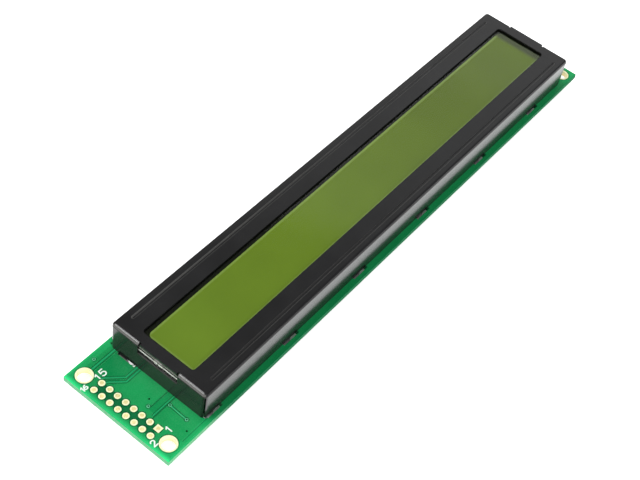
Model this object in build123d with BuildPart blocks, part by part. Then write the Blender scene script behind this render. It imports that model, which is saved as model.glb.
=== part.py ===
"""Character display module: circuit board, folded steel bezel, display cell, backlight and the parts on the rear.

Millimetres, +Z up. The board lies flat with its viewing side up, its length along X and the
connector end at -X. The lowest point is the tips of the bezel's twisted tabs at z = 0.
"""
import os

from build123d import *

# Circuit board
board_length = 182.0
board_width = 33.0
board_thickness = 1.6
mounting_inset_x = 3.5
mounting_inset_y = 3.25
mounting_hole_radius = 1.75
mounting_pad_radius = 2.2
mounting_pad_sides = 24
plating = 0.17
pad_thickness = 0.06

# Connector holes, two rows of eight in line with the near mounting holes
pin_pitch = 2.54
pin_rows = 2
pins_per_row = 8
pin_hole_radius = 0.5
pin_pad_radius = 0.85
pin_pad_sides = 12

# Bezel, folded from sheet steel
sheet = 0.5
bezel_near_inset = 13.5
bezel_far_inset = 7.1
bezel_side_inset = 1.7
bezel_height = 9.35
bend_radius = 0.9
plan_corner_radius = 1.1
window_end_margin = 3.5
window_side_margin = 6.85
window_corner_radius = 1.0
window_shift = -0.2
seam_width = 0.4
end_window_width = 12.4
end_window_sill = 5.7

# Stiffening beads pressed along both long sides of the bezel
bead_end_margin = 4.5
bead_width = 1.5
bead_depth = 0.35
bead_side_margin = 2.4
bead_wall_angle = 35

# Twisted tabs and their slots in the board
tab_width = 2.9
tab_twist = 32
tab_reach = 2.0
tabs_per_side = 6
first_slot_margin = 3.3
last_slot_margin = 16.6
slot_length = 5.6
slot_overlap = 0.5
end_slot_y = 9.4

# Display cell
glass_thickness = 1.1
glass_end_gap = 0.05
glass_side_gap = 0.3
rear_film_inset = 0.65
bead_clearance = 0.02
contact_ledge = 3.8
polarizer_thickness = 0.2
polarizer_margin = 1.6
seal_width = 2.6
seal_height = 1.3
seal_reach = 0.3

# Contact strips between the glass and the board
strip_width = 2.4
strip_side_gap = 1.3
strip_end_inset = 4.0

# Backlight under the display cell
housing_end_inset = 2.7
housing_wall = 1.2
housing_floor = 0.8
diffuser_thickness = 0.6
diffuser_gap = 0.1
lamp_board_thickness = 0.8
lamp_columns = 16
lamp_rows = 2
lamp_end_inset = 5.0
lamp_side_inset = 6.0
lamp_length = 1.6
lamp_width = 0.8
lamp_height = 0.7

# Backlight terminals, soldered on the rear
terminal_end_inset = 3.8
terminal_side_inset = 3.8
terminal_width = 0.9
terminal_thickness = 0.4
terminal_reach = 1.0
terminal_hole_radius = 0.6
terminal_solder_radius = 1.1
solder_foot = 0.3
solder_neck_radius = 0.75
solder_sides = 12

# Parts on the rear of the board
controller_radius = 8.6
controller_inset = 29.5
driver_radius = 7.2
first_driver_step = 31.0
last_driver_inset = 19.9
drivers = 4
dome_height = 1.45
dome_sides = 32
dome_shoulder = 0.9
chip_length = 3.2
chip_width = 1.6
chip_height = 0.55
chip_cap_length = 0.5
chip_cap_lip = 0.05
ladder_inset = 11.0
ladder_pitch = 3.4
ladder_chips = 5
capacitor_height = 0.9

# Levels and shared positions
board_bottom = tab_reach
board_top = board_bottom + board_thickness
bezel_top = board_top + bezel_height
sheet_underside = bezel_top - sheet
front_glass_top = sheet_underside - bead_depth - bead_clearance
front_glass_bottom = front_glass_top - glass_thickness
rear_glass_bottom = front_glass_bottom - glass_thickness
backlight_top = rear_glass_bottom - polarizer_thickness
mounting_spacing_x = board_length - 2 * mounting_inset_x
mounting_spacing_y = board_width - 2 * mounting_inset_y
header_x = -mounting_spacing_x / 2
bezel_near_x = -board_length / 2 + bezel_near_inset
bezel_far_x = board_length / 2 - bezel_far_inset
bezel_x = (bezel_near_x + bezel_far_x) / 2
bezel_length = bezel_far_x - bezel_near_x
bezel_width = board_width - 2 * bezel_side_inset
window_x = bezel_x + window_shift
window_length = bezel_length - 2 * window_end_margin
window_width = bezel_width - 2 * window_side_margin
bead_length = bezel_length - 2 * bead_end_margin
bead_offset_y = bezel_width / 2 - bead_side_margin
wall_y = (bezel_width - sheet) / 2
end_wall_near = bezel_near_x + sheet / 2
end_wall_far = bezel_far_x - sheet / 2
slot_width = sheet + 2 * slot_overlap
tab_shift = (slot_length - tab_width) / 2 - 0.05
slot_run = bezel_length - first_slot_margin - last_slot_margin
side_slot_x = [
    bezel_near_x + first_slot_margin + slot_run * i / (tabs_per_side - 1) for i in range(tabs_per_side)
]
glass_length = bezel_length - 2 * sheet - 2 * glass_end_gap
front_glass_width = bezel_width - 2 * sheet - 2 * glass_side_gap
rear_glass_width = front_glass_width - 2 * contact_ledge
strip_y = bezel_width / 2 - sheet - strip_side_gap - strip_width / 2
housing_length = bezel_length - 2 * housing_end_inset
housing_width = rear_glass_width
lamp_pitch_x = (housing_length - 2 * lamp_end_inset) / (lamp_columns - 1)
lamp_pitch_y = housing_width - 2 * lamp_side_inset
terminal_x = bezel_x - housing_length / 2 + terminal_end_inset
terminal_spacing_y = housing_width - 2 * terminal_side_inset
controller_x = bezel_near_x + controller_inset
first_driver_x = controller_x + first_driver_step
driver_pitch = (bezel_far_x - last_driver_inset - first_driver_x) / (drivers - 1)
driver_x = [first_driver_x + driver_pitch * i for i in range(drivers)]
ladder_x = bezel_near_x + ladder_inset
pin_holes = [
    (header_x + pin_pitch * (column - 0.5), pin_pitch * (row - (pins_per_row - 1) / 2))
    for column in range(pin_rows)
    for row in range(pins_per_row)
]
pin_one = pin_holes[pins_per_row]
round_pins = [p for p in pin_holes if p != pin_one]

# Circuit board with its drilled holes and tab slots
with BuildPart() as pcb:
    with BuildSketch(Plane.XY.offset(board_bottom)) as board_outline:
        Rectangle(board_length, board_width)
        with GridLocations(mounting_spacing_x, mounting_spacing_y, 2, 2):
            RegularPolygon(mounting_hole_radius + plating, mounting_pad_sides, mode=Mode.SUBTRACT)
        with Locations(*pin_holes):
            RegularPolygon(pin_hole_radius + plating, pin_pad_sides, mode=Mode.SUBTRACT)
        with Locations(*[(x, side * wall_y) for x in side_slot_x for side in (-1, 1)]):
            Rectangle(slot_length, slot_width, mode=Mode.SUBTRACT)
        with Locations((end_wall_near, end_slot_y), (end_wall_far, -end_slot_y)):
            Rectangle(slot_width, slot_length, mode=Mode.SUBTRACT)
        with Locations((terminal_x, 0)):
            with GridLocations(0, terminal_spacing_y, 1, 2):
                RegularPolygon(terminal_hole_radius, solder_sides, mode=Mode.SUBTRACT)
    extrude(amount=board_thickness)

# Plated barrels and ring pads of the mounting holes
with BuildPart() as mounting_barrels:
    with BuildSketch(Plane.XY.offset(board_bottom - pad_thickness)):
        with GridLocations(mounting_spacing_x, mounting_spacing_y, 2, 2):
            RegularPolygon(mounting_hole_radius + plating, mounting_pad_sides)
    extrude(amount=board_thickness + 2 * pad_thickness)
    with BuildSketch(Plane.XY.offset(board_bottom - pad_thickness), Plane.XY.offset(board_top)):
        with GridLocations(mounting_spacing_x, mounting_spacing_y, 2, 2):
            RegularPolygon(mounting_pad_radius, mounting_pad_sides)
    extrude(amount=pad_thickness)
    with BuildSketch(Plane.XY.offset(board_bottom - pad_thickness)):
        with GridLocations(mounting_spacing_x, mounting_spacing_y, 2, 2):
            Circle(mounting_hole_radius)
    extrude(amount=board_thickness + 2 * pad_thickness, mode=Mode.SUBTRACT)

# Plated round pads of the connector, every hole but the first
with BuildPart() as header_pads:
    with BuildSketch(Plane.XY.offset(board_bottom - pad_thickness)):
        with Locations(*round_pins):
            RegularPolygon(pin_hole_radius + plating, pin_pad_sides)
    extrude(amount=board_thickness + 2 * pad_thickness)
    with BuildSketch(Plane.XY.offset(board_bottom - pad_thickness), Plane.XY.offset(board_top)):
        with Locations(*round_pins):
            RegularPolygon(pin_pad_radius, pin_pad_sides)
    extrude(amount=pad_thickness)
    with BuildSketch(Plane.XY.offset(board_bottom - pad_thickness)):
        with Locations(*round_pins):
            Circle(pin_hole_radius)
    extrude(amount=board_thickness + 2 * pad_thickness, mode=Mode.SUBTRACT)

# Square pad that marks the first connector hole
with BuildPart() as pin_one_pad:
    with BuildSketch(Plane.XY.offset(board_bottom - pad_thickness)):
        with Locations(pin_one):
            RegularPolygon(pin_hole_radius + plating, pin_pad_sides)
    extrude(amount=board_thickness + 2 * pad_thickness)
    with BuildSketch(Plane.XY.offset(board_bottom - pad_thickness), Plane.XY.offset(board_top)):
        with Locations(pin_one):
            Rectangle(2 * pin_pad_radius, 2 * pin_pad_radius)
    extrude(amount=pad_thickness)
    with BuildSketch(Plane.XY.offset(board_bottom - pad_thickness)):
        with Locations(pin_one):
            Circle(pin_hole_radius)
    extrude(amount=board_thickness + 2 * pad_thickness, mode=Mode.SUBTRACT)

# One tab of the bezel: straight through the board, then twisted against its rear
with BuildPart() as twisted_tab:
    with BuildSketch(Plane.XY.offset(board_bottom)):
        Rectangle(tab_width, sheet)
    extrude(amount=board_thickness)
    with BuildSketch(Plane.XY.offset(board_bottom)):
        Rectangle(tab_width, sheet)
    with BuildSketch():
        Rectangle(tab_width, sheet, rotation=tab_twist)
    loft(ruled=True)

# Bezel: pressed pan with window, end windows, open corner seams, beads and twisted tabs
with BuildPart() as bezel:
    with BuildSketch(Plane.XY.offset(board_top)):
        with Locations((bezel_x, 0)):
            RectangleRounded(bezel_length, bezel_width, plan_corner_radius)
    extrude(amount=bezel_height)
    fillet(bezel.faces().sort_by(Axis.Z)[-1].edges(), radius=bend_radius)
    with BuildSketch(Plane.XY.offset(board_top)):
        with Locations((bezel_x, 0)):
            Rectangle(bezel_length - 2 * sheet, bezel_width - 2 * sheet)
    extrude(amount=bezel_height - sheet, mode=Mode.SUBTRACT)
    fillet(bezel.faces().filter_by(Axis.Z).sort_by(Axis.Z)[-2].edges(), radius=bend_radius - sheet)
    with BuildSketch(Plane.XY.offset(sheet_underside)):
        with Locations((bezel_x, 0)):
            with GridLocations(0, 2 * bead_offset_y, 1, 2):
                SlotOverall(bead_length, bead_width)
    extrude(amount=-bead_depth, taper=bead_wall_angle)
    with BuildSketch(Plane.XY.offset(bezel_top)):
        with Locations((bezel_x, 0)):
            with GridLocations(0, 2 * bead_offset_y, 1, 2):
                SlotOverall(bead_length, bead_width)
    extrude(amount=-bead_depth, taper=bead_wall_angle, mode=Mode.SUBTRACT)
    with BuildSketch(Plane.XY.offset(bezel_top)):
        with Locations((window_x, 0)):
            RectangleRounded(window_length, window_width, window_corner_radius)
    extrude(amount=-2 * sheet, mode=Mode.SUBTRACT)
    with BuildSketch(Plane.XY.offset(board_top + end_window_sill)):
        with Locations((bezel_near_x, 0), (bezel_far_x, 0)):
            Rectangle(2 * bend_radius, end_window_width)
    extrude(amount=bezel_height, mode=Mode.SUBTRACT)
    with BuildSketch(Plane.XY.offset(sheet_underside)):
        with Locations((bezel_x, 0)):
            Rectangle(bezel_length, end_window_width - 2 * sheet)
        with Locations((bezel_x, 0)):
            Rectangle(bezel_length - 2 * bend_radius, end_window_width, mode=Mode.SUBTRACT)
    extrude(amount=sheet)
    with BuildSketch(Plane.XY.offset(board_top)):
        with Locations(
            Location((bezel_near_x, bezel_width / 2, 0), 45),
            Location((bezel_near_x, -bezel_width / 2, 0), -45),
            Location((bezel_far_x, bezel_width / 2, 0), -45),
            Location((bezel_far_x, -bezel_width / 2, 0), 45),
        ):
            Rectangle(seam_width, 4 * plan_corner_radius)
    extrude(amount=bezel_height - bend_radius, mode=Mode.SUBTRACT)
    with Locations(*[(x - tab_shift, side * wall_y, 0) for x in side_slot_x for side in (-1, 1)]):
        add(twisted_tab.part)
    with Locations(
        Location((end_wall_near, end_slot_y + tab_shift, 0), (0, 0, 90)),
        Location((end_wall_far, -end_slot_y - tab_shift, 0), (0, 0, 90)),
    ):
        add(twisted_tab.part)

# Front polarizer film, a little larger than the window
with BuildPart() as front_polarizer:
    with BuildSketch(Plane.XY.offset(front_glass_top)):
        with Locations((window_x, 0)):
            Rectangle(window_length + 2 * polarizer_margin, window_width + 2 * polarizer_margin)
    extrude(amount=polarizer_thickness)

# Front glass, wide enough to carry the contact ledges
with BuildPart() as front_glass:
    with BuildSketch(Plane.XY.offset(front_glass_bottom)):
        with Locations((bezel_x, 0)):
            Rectangle(glass_length, front_glass_width)
    extrude(amount=glass_thickness)

# Rear glass, narrower than the front
with BuildPart() as rear_glass:
    with BuildSketch(Plane.XY.offset(rear_glass_bottom)):
        with Locations((bezel_x, 0)):
            Rectangle(glass_length, rear_glass_width)
    extrude(amount=glass_thickness)

# Plug of the filling port at the near end of the cell
with BuildPart() as end_seal:
    with BuildSketch(Plane.YZ.offset(bezel_near_x + sheet + glass_end_gap)):
        with Locations((0, front_glass_bottom)):
            RectangleRounded(seal_width, seal_height, seal_height / 3)
    extrude(amount=-seal_reach)

# Rear polarizer film on the underside of the cell
with BuildPart() as rear_polarizer:
    with BuildSketch(Plane.XY.offset(backlight_top)):
        with Locations((window_x, 0)):
            Rectangle(window_length + 2 * polarizer_margin, rear_glass_width - 2 * rear_film_inset)
    extrude(amount=polarizer_thickness)

# Rubber contact strips along both long sides
with BuildPart() as front_contact_strip:
    with BuildSketch(Plane.XY.offset(board_top)):
        with Locations((bezel_x, -strip_y)):
            Rectangle(glass_length - 2 * strip_end_inset, strip_width)
    extrude(amount=front_glass_bottom - board_top)
with BuildPart() as rear_contact_strip:
    with BuildSketch(Plane.XY.offset(board_top)):
        with Locations((bezel_x, strip_y)):
            Rectangle(glass_length - 2 * strip_end_inset, strip_width)
    extrude(amount=front_glass_bottom - board_top)

# Backlight housing, an open tray that carries the diffuser in a rebate
with BuildPart() as backlight_housing:
    with BuildSketch(Plane.XY.offset(board_top)):
        with Locations((bezel_x, 0)):
            Rectangle(housing_length, housing_width)
    extrude(amount=backlight_top - board_top)
    with BuildSketch(Plane.XY.offset(board_top + housing_floor)):
        with Locations((bezel_x, 0)):
            Rectangle(housing_length - 2 * housing_wall, housing_width - 2 * housing_wall)
    extrude(amount=backlight_top - board_top, mode=Mode.SUBTRACT)
    with BuildSketch(Plane.XY.offset(backlight_top - diffuser_thickness)):
        with Locations((bezel_x, 0)):
            Rectangle(housing_length - housing_wall, housing_width - housing_wall)
    extrude(amount=diffuser_thickness, mode=Mode.SUBTRACT)
    with BuildSketch(Plane.XY.offset(board_top)):
        with Locations((terminal_x, 0)):
            with GridLocations(0, terminal_spacing_y, 1, 2):
                Rectangle(2 * terminal_thickness, 2 * terminal_width)
    extrude(amount=housing_floor, mode=Mode.SUBTRACT)

# Diffuser plate seated in the housing's rebate
with BuildPart() as backlight_diffuser:
    with BuildSketch(Plane.XY.offset(backlight_top - diffuser_thickness)):
        with Locations((bezel_x, 0)):
            Rectangle(
                housing_length - housing_wall - 2 * diffuser_gap,
                housing_width - housing_wall - 2 * diffuser_gap,
            )
    extrude(amount=diffuser_thickness)

# Lamp board on the housing floor
lamp_board_bottom = board_top + housing_floor
lamp_board_top = lamp_board_bottom + lamp_board_thickness
with BuildPart() as lamp_board:
    with BuildSketch(Plane.XY.offset(lamp_board_bottom)):
        with Locations((bezel_x, 0)):
            Rectangle(
                housing_length - 2 * housing_wall - 2 * diffuser_gap,
                housing_width - 2 * housing_wall - 2 * diffuser_gap,
            )
        with Locations((terminal_x, 0)):
            with GridLocations(0, terminal_spacing_y, 1, 2):
                Rectangle(terminal_thickness, terminal_width, mode=Mode.SUBTRACT)
    extrude(amount=lamp_board_thickness)

# Lamp chips in two rows
with BuildPart() as backlight_lamps:
    with BuildSketch(Plane.XY.offset(lamp_board_top)):
        with Locations((bezel_x, 0)):
            with GridLocations(lamp_pitch_x, lamp_pitch_y, lamp_columns, lamp_rows):
                Rectangle(lamp_length, lamp_width)
    extrude(amount=lamp_height)

# Backlight terminals down through the board
with BuildPart() as backlight_terminals:
    with BuildSketch(Plane.XY.offset(board_bottom - terminal_reach)):
        with Locations((terminal_x, 0)):
            with GridLocations(0, terminal_spacing_y, 1, 2):
                Rectangle(terminal_thickness, terminal_width)
    extrude(amount=lamp_board_top - board_bottom + terminal_reach)

# Solder cones round the terminals on the rear
with BuildPart() as terminal_solder:
    with BuildSketch(Plane.XY.offset(board_bottom)):
        with Locations((terminal_x, 0)):
            with GridLocations(0, terminal_spacing_y, 1, 2):
                RegularPolygon(terminal_solder_radius, solder_sides)
    extrude(amount=-solder_foot)
    with BuildSketch(Plane.XY.offset(board_bottom - solder_foot)):
        with Locations((terminal_x, 0)):
            with GridLocations(0, terminal_spacing_y, 1, 2):
                RegularPolygon(solder_neck_radius, solder_sides)
    extrude(amount=solder_foot - 0.8 * terminal_reach)
    with BuildSketch(Plane.XY.offset(board_bottom)):
        with Locations((terminal_x, 0)):
            with GridLocations(0, terminal_spacing_y, 1, 2):
                Rectangle(terminal_thickness, terminal_width)
    extrude(amount=-terminal_reach, mode=Mode.SUBTRACT)

# Resin dome over the controller chip
with BuildPart() as controller_dome:
    with BuildSketch(Plane.XY.offset(board_bottom)):
        with Locations((controller_x, 0)):
            RegularPolygon(controller_radius, dome_sides)
    extrude(amount=-dome_height)
    chamfer(controller_dome.edges().group_by(Axis.Z)[0], length=dome_shoulder)

# Resin domes over the segment drivers
with BuildPart() as driver_domes:
    with BuildSketch(Plane.XY.offset(board_bottom)):
        with Locations(*[(x, 0) for x in driver_x]):
            RegularPolygon(driver_radius, dome_sides)
    extrude(amount=-dome_height)
    chamfer(driver_domes.edges().group_by(Axis.Z)[0], length=dome_shoulder)

# Chip resistors of the contrast ladder and the clock, ceramic bodies only
resistor_places = [(ladder_x, ladder_pitch * (i - (ladder_chips - 1) / 2)) for i in range(ladder_chips)]
resistor_places.append((ladder_x + 1.5 * chip_length, -ladder_pitch * (ladder_chips - 1) / 2))
body_length = chip_length - 2 * chip_cap_length
with BuildPart() as chip_resistors:
    with BuildSketch(Plane.XY.offset(board_bottom - chip_height)):
        with Locations(*resistor_places):
            Rectangle(body_length, chip_width)
    extrude(amount=chip_height)

# Chip capacitors beside the controller and the first driver
capacitor_places = [
    (controller_x + controller_radius + 0.8 * chip_length, 2.5 * chip_width),
    (controller_x + controller_radius + 0.8 * chip_length, -2.5 * chip_width),
]
with BuildPart() as chip_capacitors:
    with BuildSketch(Plane.XY.offset(board_bottom - capacitor_height)):
        with Locations(*capacitor_places):
            Rectangle(body_length, chip_width)
    extrude(amount=capacitor_height)

# Tinned end caps of the chips
cap_step = (chip_length - chip_cap_length) / 2
with BuildPart() as chip_end_caps:
    with BuildSketch(Plane.XY.offset(board_bottom)):
        with Locations(*[(x + side * cap_step, y) for x, y in resistor_places for side in (-1, 1)]):
            Rectangle(chip_cap_length, chip_width)
    extrude(amount=-chip_height - chip_cap_lip)
    with BuildSketch(Plane.XY.offset(board_bottom)):
        with Locations(*[(x + side * cap_step, y) for x, y in capacitor_places for side in (-1, 1)]):
            Rectangle(chip_cap_length, chip_width)
    extrude(amount=-capacitor_height - chip_cap_lip)

# Names and files
pieces = {
    "pcb": pcb,
    "mounting_barrels": mounting_barrels,
    "header_pads": header_pads,
    "pin_one_pad": pin_one_pad,
    "bezel": bezel,
    "front_polarizer": front_polarizer,
    "front_glass": front_glass,
    "rear_glass": rear_glass,
    "end_seal": end_seal,
    "rear_polarizer": rear_polarizer,
    "front_contact_strip": front_contact_strip,
    "rear_contact_strip": rear_contact_strip,
    "backlight_housing": backlight_housing,
    "backlight_diffuser": backlight_diffuser,
    "lamp_board": lamp_board,
    "backlight_lamps": backlight_lamps,
    "backlight_terminals": backlight_terminals,
    "terminal_solder": terminal_solder,
    "controller_dome": controller_dome,
    "driver_domes": driver_domes,
    "chip_resistors": chip_resistors,
    "chip_capacitors": chip_capacitors,
    "chip_end_caps": chip_end_caps,
}
os.makedirs("parts", exist_ok=True)
for name, piece in pieces.items():
    piece.part.label = name
    export_step(piece.part, f"parts/{name}.step")
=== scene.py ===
"""Looks of a character display module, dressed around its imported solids.

The board lies flat, viewing side up, with the connector at -X. Sizes in the classes are
millimetres; every mesh is written in metres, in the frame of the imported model.
"""
import logging
import math
from dataclasses import dataclass, field
from enum import Enum
from functools import reduce
from itertools import product
from typing import Callable, Iterable, Sequence

import bmesh
import bpy
from bpy.types import Material, Mesh, Node, NodeSocket, Object
from mathutils import Matrix, Vector
from mathutils.geometry import delaunay_2d_cdt

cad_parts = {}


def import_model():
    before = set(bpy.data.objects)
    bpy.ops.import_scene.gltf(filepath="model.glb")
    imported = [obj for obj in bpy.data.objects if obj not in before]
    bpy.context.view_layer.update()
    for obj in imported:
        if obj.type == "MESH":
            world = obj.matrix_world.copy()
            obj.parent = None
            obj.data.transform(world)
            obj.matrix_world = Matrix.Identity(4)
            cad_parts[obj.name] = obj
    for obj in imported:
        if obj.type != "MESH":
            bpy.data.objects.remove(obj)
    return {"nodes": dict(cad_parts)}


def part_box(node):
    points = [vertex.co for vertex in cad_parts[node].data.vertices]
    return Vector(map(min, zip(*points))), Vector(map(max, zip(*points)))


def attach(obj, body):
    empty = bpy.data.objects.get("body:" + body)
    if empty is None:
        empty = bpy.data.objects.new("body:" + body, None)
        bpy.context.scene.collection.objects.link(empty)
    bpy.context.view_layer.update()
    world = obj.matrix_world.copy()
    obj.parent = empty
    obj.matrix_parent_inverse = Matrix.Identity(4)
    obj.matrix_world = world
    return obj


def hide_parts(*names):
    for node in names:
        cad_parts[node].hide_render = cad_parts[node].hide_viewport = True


LOG = logging.getLogger("display_module")
MM = 0.001
BODY = "root"
MERGE_MM = 0.0005
SIDEWAYS = 0.999  # part of a normal along one axis from which it counts as square to it
Colour = tuple[float, float, float]
Point2 = tuple[float, float]
Point3 = tuple[float, float, float]
Patch = tuple[float, float, float, float]
Line = tuple[tuple[Point2, ...], float]
Flat = tuple[list[Point2], list[tuple[int, ...]]]
WHITE: Colour = (1.0, 1.0, 1.0)
BLACK: Colour = (0.0, 0.0, 0.0)
FALL: Point2 = (1.0, 0.0)


class Slot(Enum):
    """Material slots of the record, given with each new piece."""

    MASK = "solder_mask"
    GOLD = "gold_plate"
    PAINT = "black_paint"
    POLARIZER = "polarizer_film"
    GLASS = "glass"
    FILM = "green_film"
    RESIN = "black_resin"
    INK = "white_plastic"


class Coat(Enum):
    """What the solder mask covers, and the green that it shows there."""

    COPPER = (0.007, 0.248, 0.068)
    BARE = (0.002, 0.213, 0.058)
    TRACK = (0.012, 0.330, 0.115)
    # GAP is darker than BARE as painted shade in the narrow recessed lines
    GAP = (0.001, 0.125, 0.036)


class Stretch(Enum):
    """What a stretch of the bezel's outline is."""

    SEAM, OPENING, TAB, WALL = range(4)


# ---- Shader graphs


def feed(links: bpy.types.NodeLinks, socket: NodeSocket, value: object) -> None:
    """Joins a socket to an input, or sets the input's own value.

    Args:
        links: The links of the node tree.
        socket: The input.
        value: A socket, a number, a vector or a colour without alpha.
    """
    if isinstance(value, NodeSocket):
        links.new(value, socket)
    else:
        socket.default_value = (*value, 1.0) if socket.type == "RGBA" else value


def dim(colour: Colour, share: float) -> Colour:
    """Scales a colour."""
    return tuple(share * c for c in colour)


class Graph:
    """Builds one procedural material node by node."""

    def __init__(self, name: str) -> None:
        """Starts an empty material.

        Args:
            name: The material's name.
        """
        self.material = bpy.data.materials.new(name)
        self.material.use_nodes = True
        self.nodes, self.links = self.material.node_tree.nodes, self.material.node_tree.links
        self.nodes.clear()
        self.output = self.nodes.new("ShaderNodeOutputMaterial")
        self.coords = self.nodes.new("ShaderNodeTexCoord").outputs["Object"]

    def add(self, kind: str, inputs: dict | None = None, **settings: object) -> Node:
        """Adds a node.

        Args:
            kind: The node's type without its ShaderNode prefix.
            inputs: Values or sockets for its inputs, by name or index.
            **settings: Attributes to set on the node.

        Returns:
            The new node.
        """
        node = self.nodes.new("ShaderNode" + kind)
        for key, value in settings.items():
            setattr(node, key, value)
        for key, value in (inputs or {}).items():
            feed(self.links, node.inputs[key], value)
        return node

    def noise(self, size_mm: float, detail: float = 3.0, stretch: Point3 = (1, 1, 1)) -> NodeSocket:
        """Adds noise whose features are about a given size.

        Args:
            size_mm: Feature size in millimetres.
            detail: Octaves of finer detail.
            stretch: Scale of the coordinates along each axis.

        Returns:
            The noise value socket.
        """
        place = self.add("Mapping", {"Vector": self.coords, "Scale": stretch}).outputs[0]
        inputs = {"Vector": place, "Scale": 1.0 / (size_mm * MM), "Detail": detail, "Roughness": 0.55}
        return self.add("TexNoise", inputs).outputs["Fac"]

    def ramp(self, value: NodeSocket, low: float, high: float, out: Point2 = (0, 1)) -> NodeSocket:
        """Maps the range from low to high to the two outputs, clamped."""
        inputs = {"Value": value, "From Min": low, "From Max": high, "To Min": out[0], "To Max": out[1]}
        return self.add("MapRange", inputs).outputs["Result"]

    def fade(self, value: NodeSocket, low: float, high: float, out: Point2 = (0, 1)) -> NodeSocket:
        """Maps like ramp, between two places in millimetres."""
        return self.ramp(value, low * MM, high * MM, out)

    def vary(self, noise: NodeSocket, low: float, high: float) -> NodeSocket:
        """Spreads noise between two values."""
        return self.ramp(noise, 0.3, 0.7, (low, high))

    def band(self, value: NodeSocket, span: Point2, soft: float) -> NodeSocket:
        """Gives 1 within a span in millimetres and 0 outside it, over a soft edge."""
        rise = self.fade(value, span[0] - soft, span[0] + soft)
        return self.times(rise, self.fade(value, span[1] - soft, span[1] + soft, FALL))

    def blend(self, share: object, first: object, second: object) -> NodeSocket:
        """Mixes two colours by the share of the second."""
        return self.add("Mix", {0: share, 6: first, 7: second}, data_type="RGBA").outputs[2]

    def tone(self, noise: NodeSocket, first: Colour, second: Colour) -> NodeSocket:
        """Lets a colour drift to a second one with noise."""
        return self.blend(self.vary(noise, 0.0, 1.0), first, second)

    def math(self, operation: str, first: object, second: object = 0.0) -> NodeSocket:
        """Adds a math node and returns its output."""
        return self.add("Math", {0: first, 1: second}, operation=operation).outputs[0]

    def times(self, *values: object) -> NodeSocket:
        """Multiplies values, from the left."""
        return reduce(lambda a, b: self.math("MULTIPLY", a, b), values)

    def most(self, *values: object) -> NodeSocket:
        """Takes the largest of the values."""
        return reduce(lambda a, b: self.math("MAXIMUM", a, b), values)

    def plus(self, first: object, second: object) -> NodeSocket:
        """Adds two values."""
        return self.math("ADD", first, second)

    def magnitude(self, value: NodeSocket) -> NodeSocket:
        """Drops a value's sign."""
        return self.math("ABSOLUTE", value)

    def axis(self, name: str) -> NodeSocket:
        """Returns the X, Y or Z of the Object coordinates, in metres."""
        return self.add("SeparateXYZ", {0: self.coords}).outputs[name]

    def facing(self, name: str) -> NodeSocket:
        """Returns the X, Y or Z of the surface normal."""
        normal = self.add("NewGeometry").outputs["Normal"]
        return self.add("SeparateXYZ", {0: normal}).outputs[name]

    def bump(self, height: NodeSocket, depth_mm: float) -> NodeSocket:
        """Turns a height of 0 to 1 into a normal, where 1 stands for the depth."""
        return self.add("Bump", {"Height": height, "Distance": depth_mm * MM}).outputs["Normal"]

    def finish(self, shader: Node) -> Material:
        """Joins a shader to the output and returns the material."""
        self.links.new(shader.outputs[0], self.output.inputs["Surface"])
        return self.material

    def surface(self, colour: object, roughness: object, inputs: dict) -> Material:
        """Ends the material in a principled surface with the given inputs."""
        inputs = {"Base Color": colour, "Roughness": roughness, **inputs}
        return self.finish(self.add("BsdfPrincipled", inputs))


# ---- Finishes


@dataclass(frozen=True)
class Plain:
    """A solid finish whose colour drifts, with varied roughness and a fine bump."""

    name: str
    colour: Colour
    drift: Colour
    roughness: Point2 = (0.35, 0.5)
    metallic: float = 0.0
    coat: float = 0.0
    patch_mm: float = 6.0
    grain_mm: float = 0.35
    relief_mm: float = 0.01
    specular: float = 0.5
    grain_share: float = 0.3

    def make(self) -> Material:
        """Builds the material."""
        graph = Graph(self.name)
        patch, grain = graph.noise(self.patch_mm, 4.0), graph.noise(self.grain_mm)
        mixed = graph.plus(graph.times(patch, 1.0 - self.grain_share), graph.times(grain, self.grain_share))
        colour = graph.blend(graph.ramp(mixed, 0.35, 0.65), self.colour, self.drift)
        return graph.surface(colour, graph.vary(grain, *self.roughness), {
            "Metallic": self.metallic, "Coat Weight": self.coat, "Coat Roughness": 0.15,
            "Specular IOR Level": self.specular, "Normal": graph.bump(grain, self.relief_mm),
        })


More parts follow.
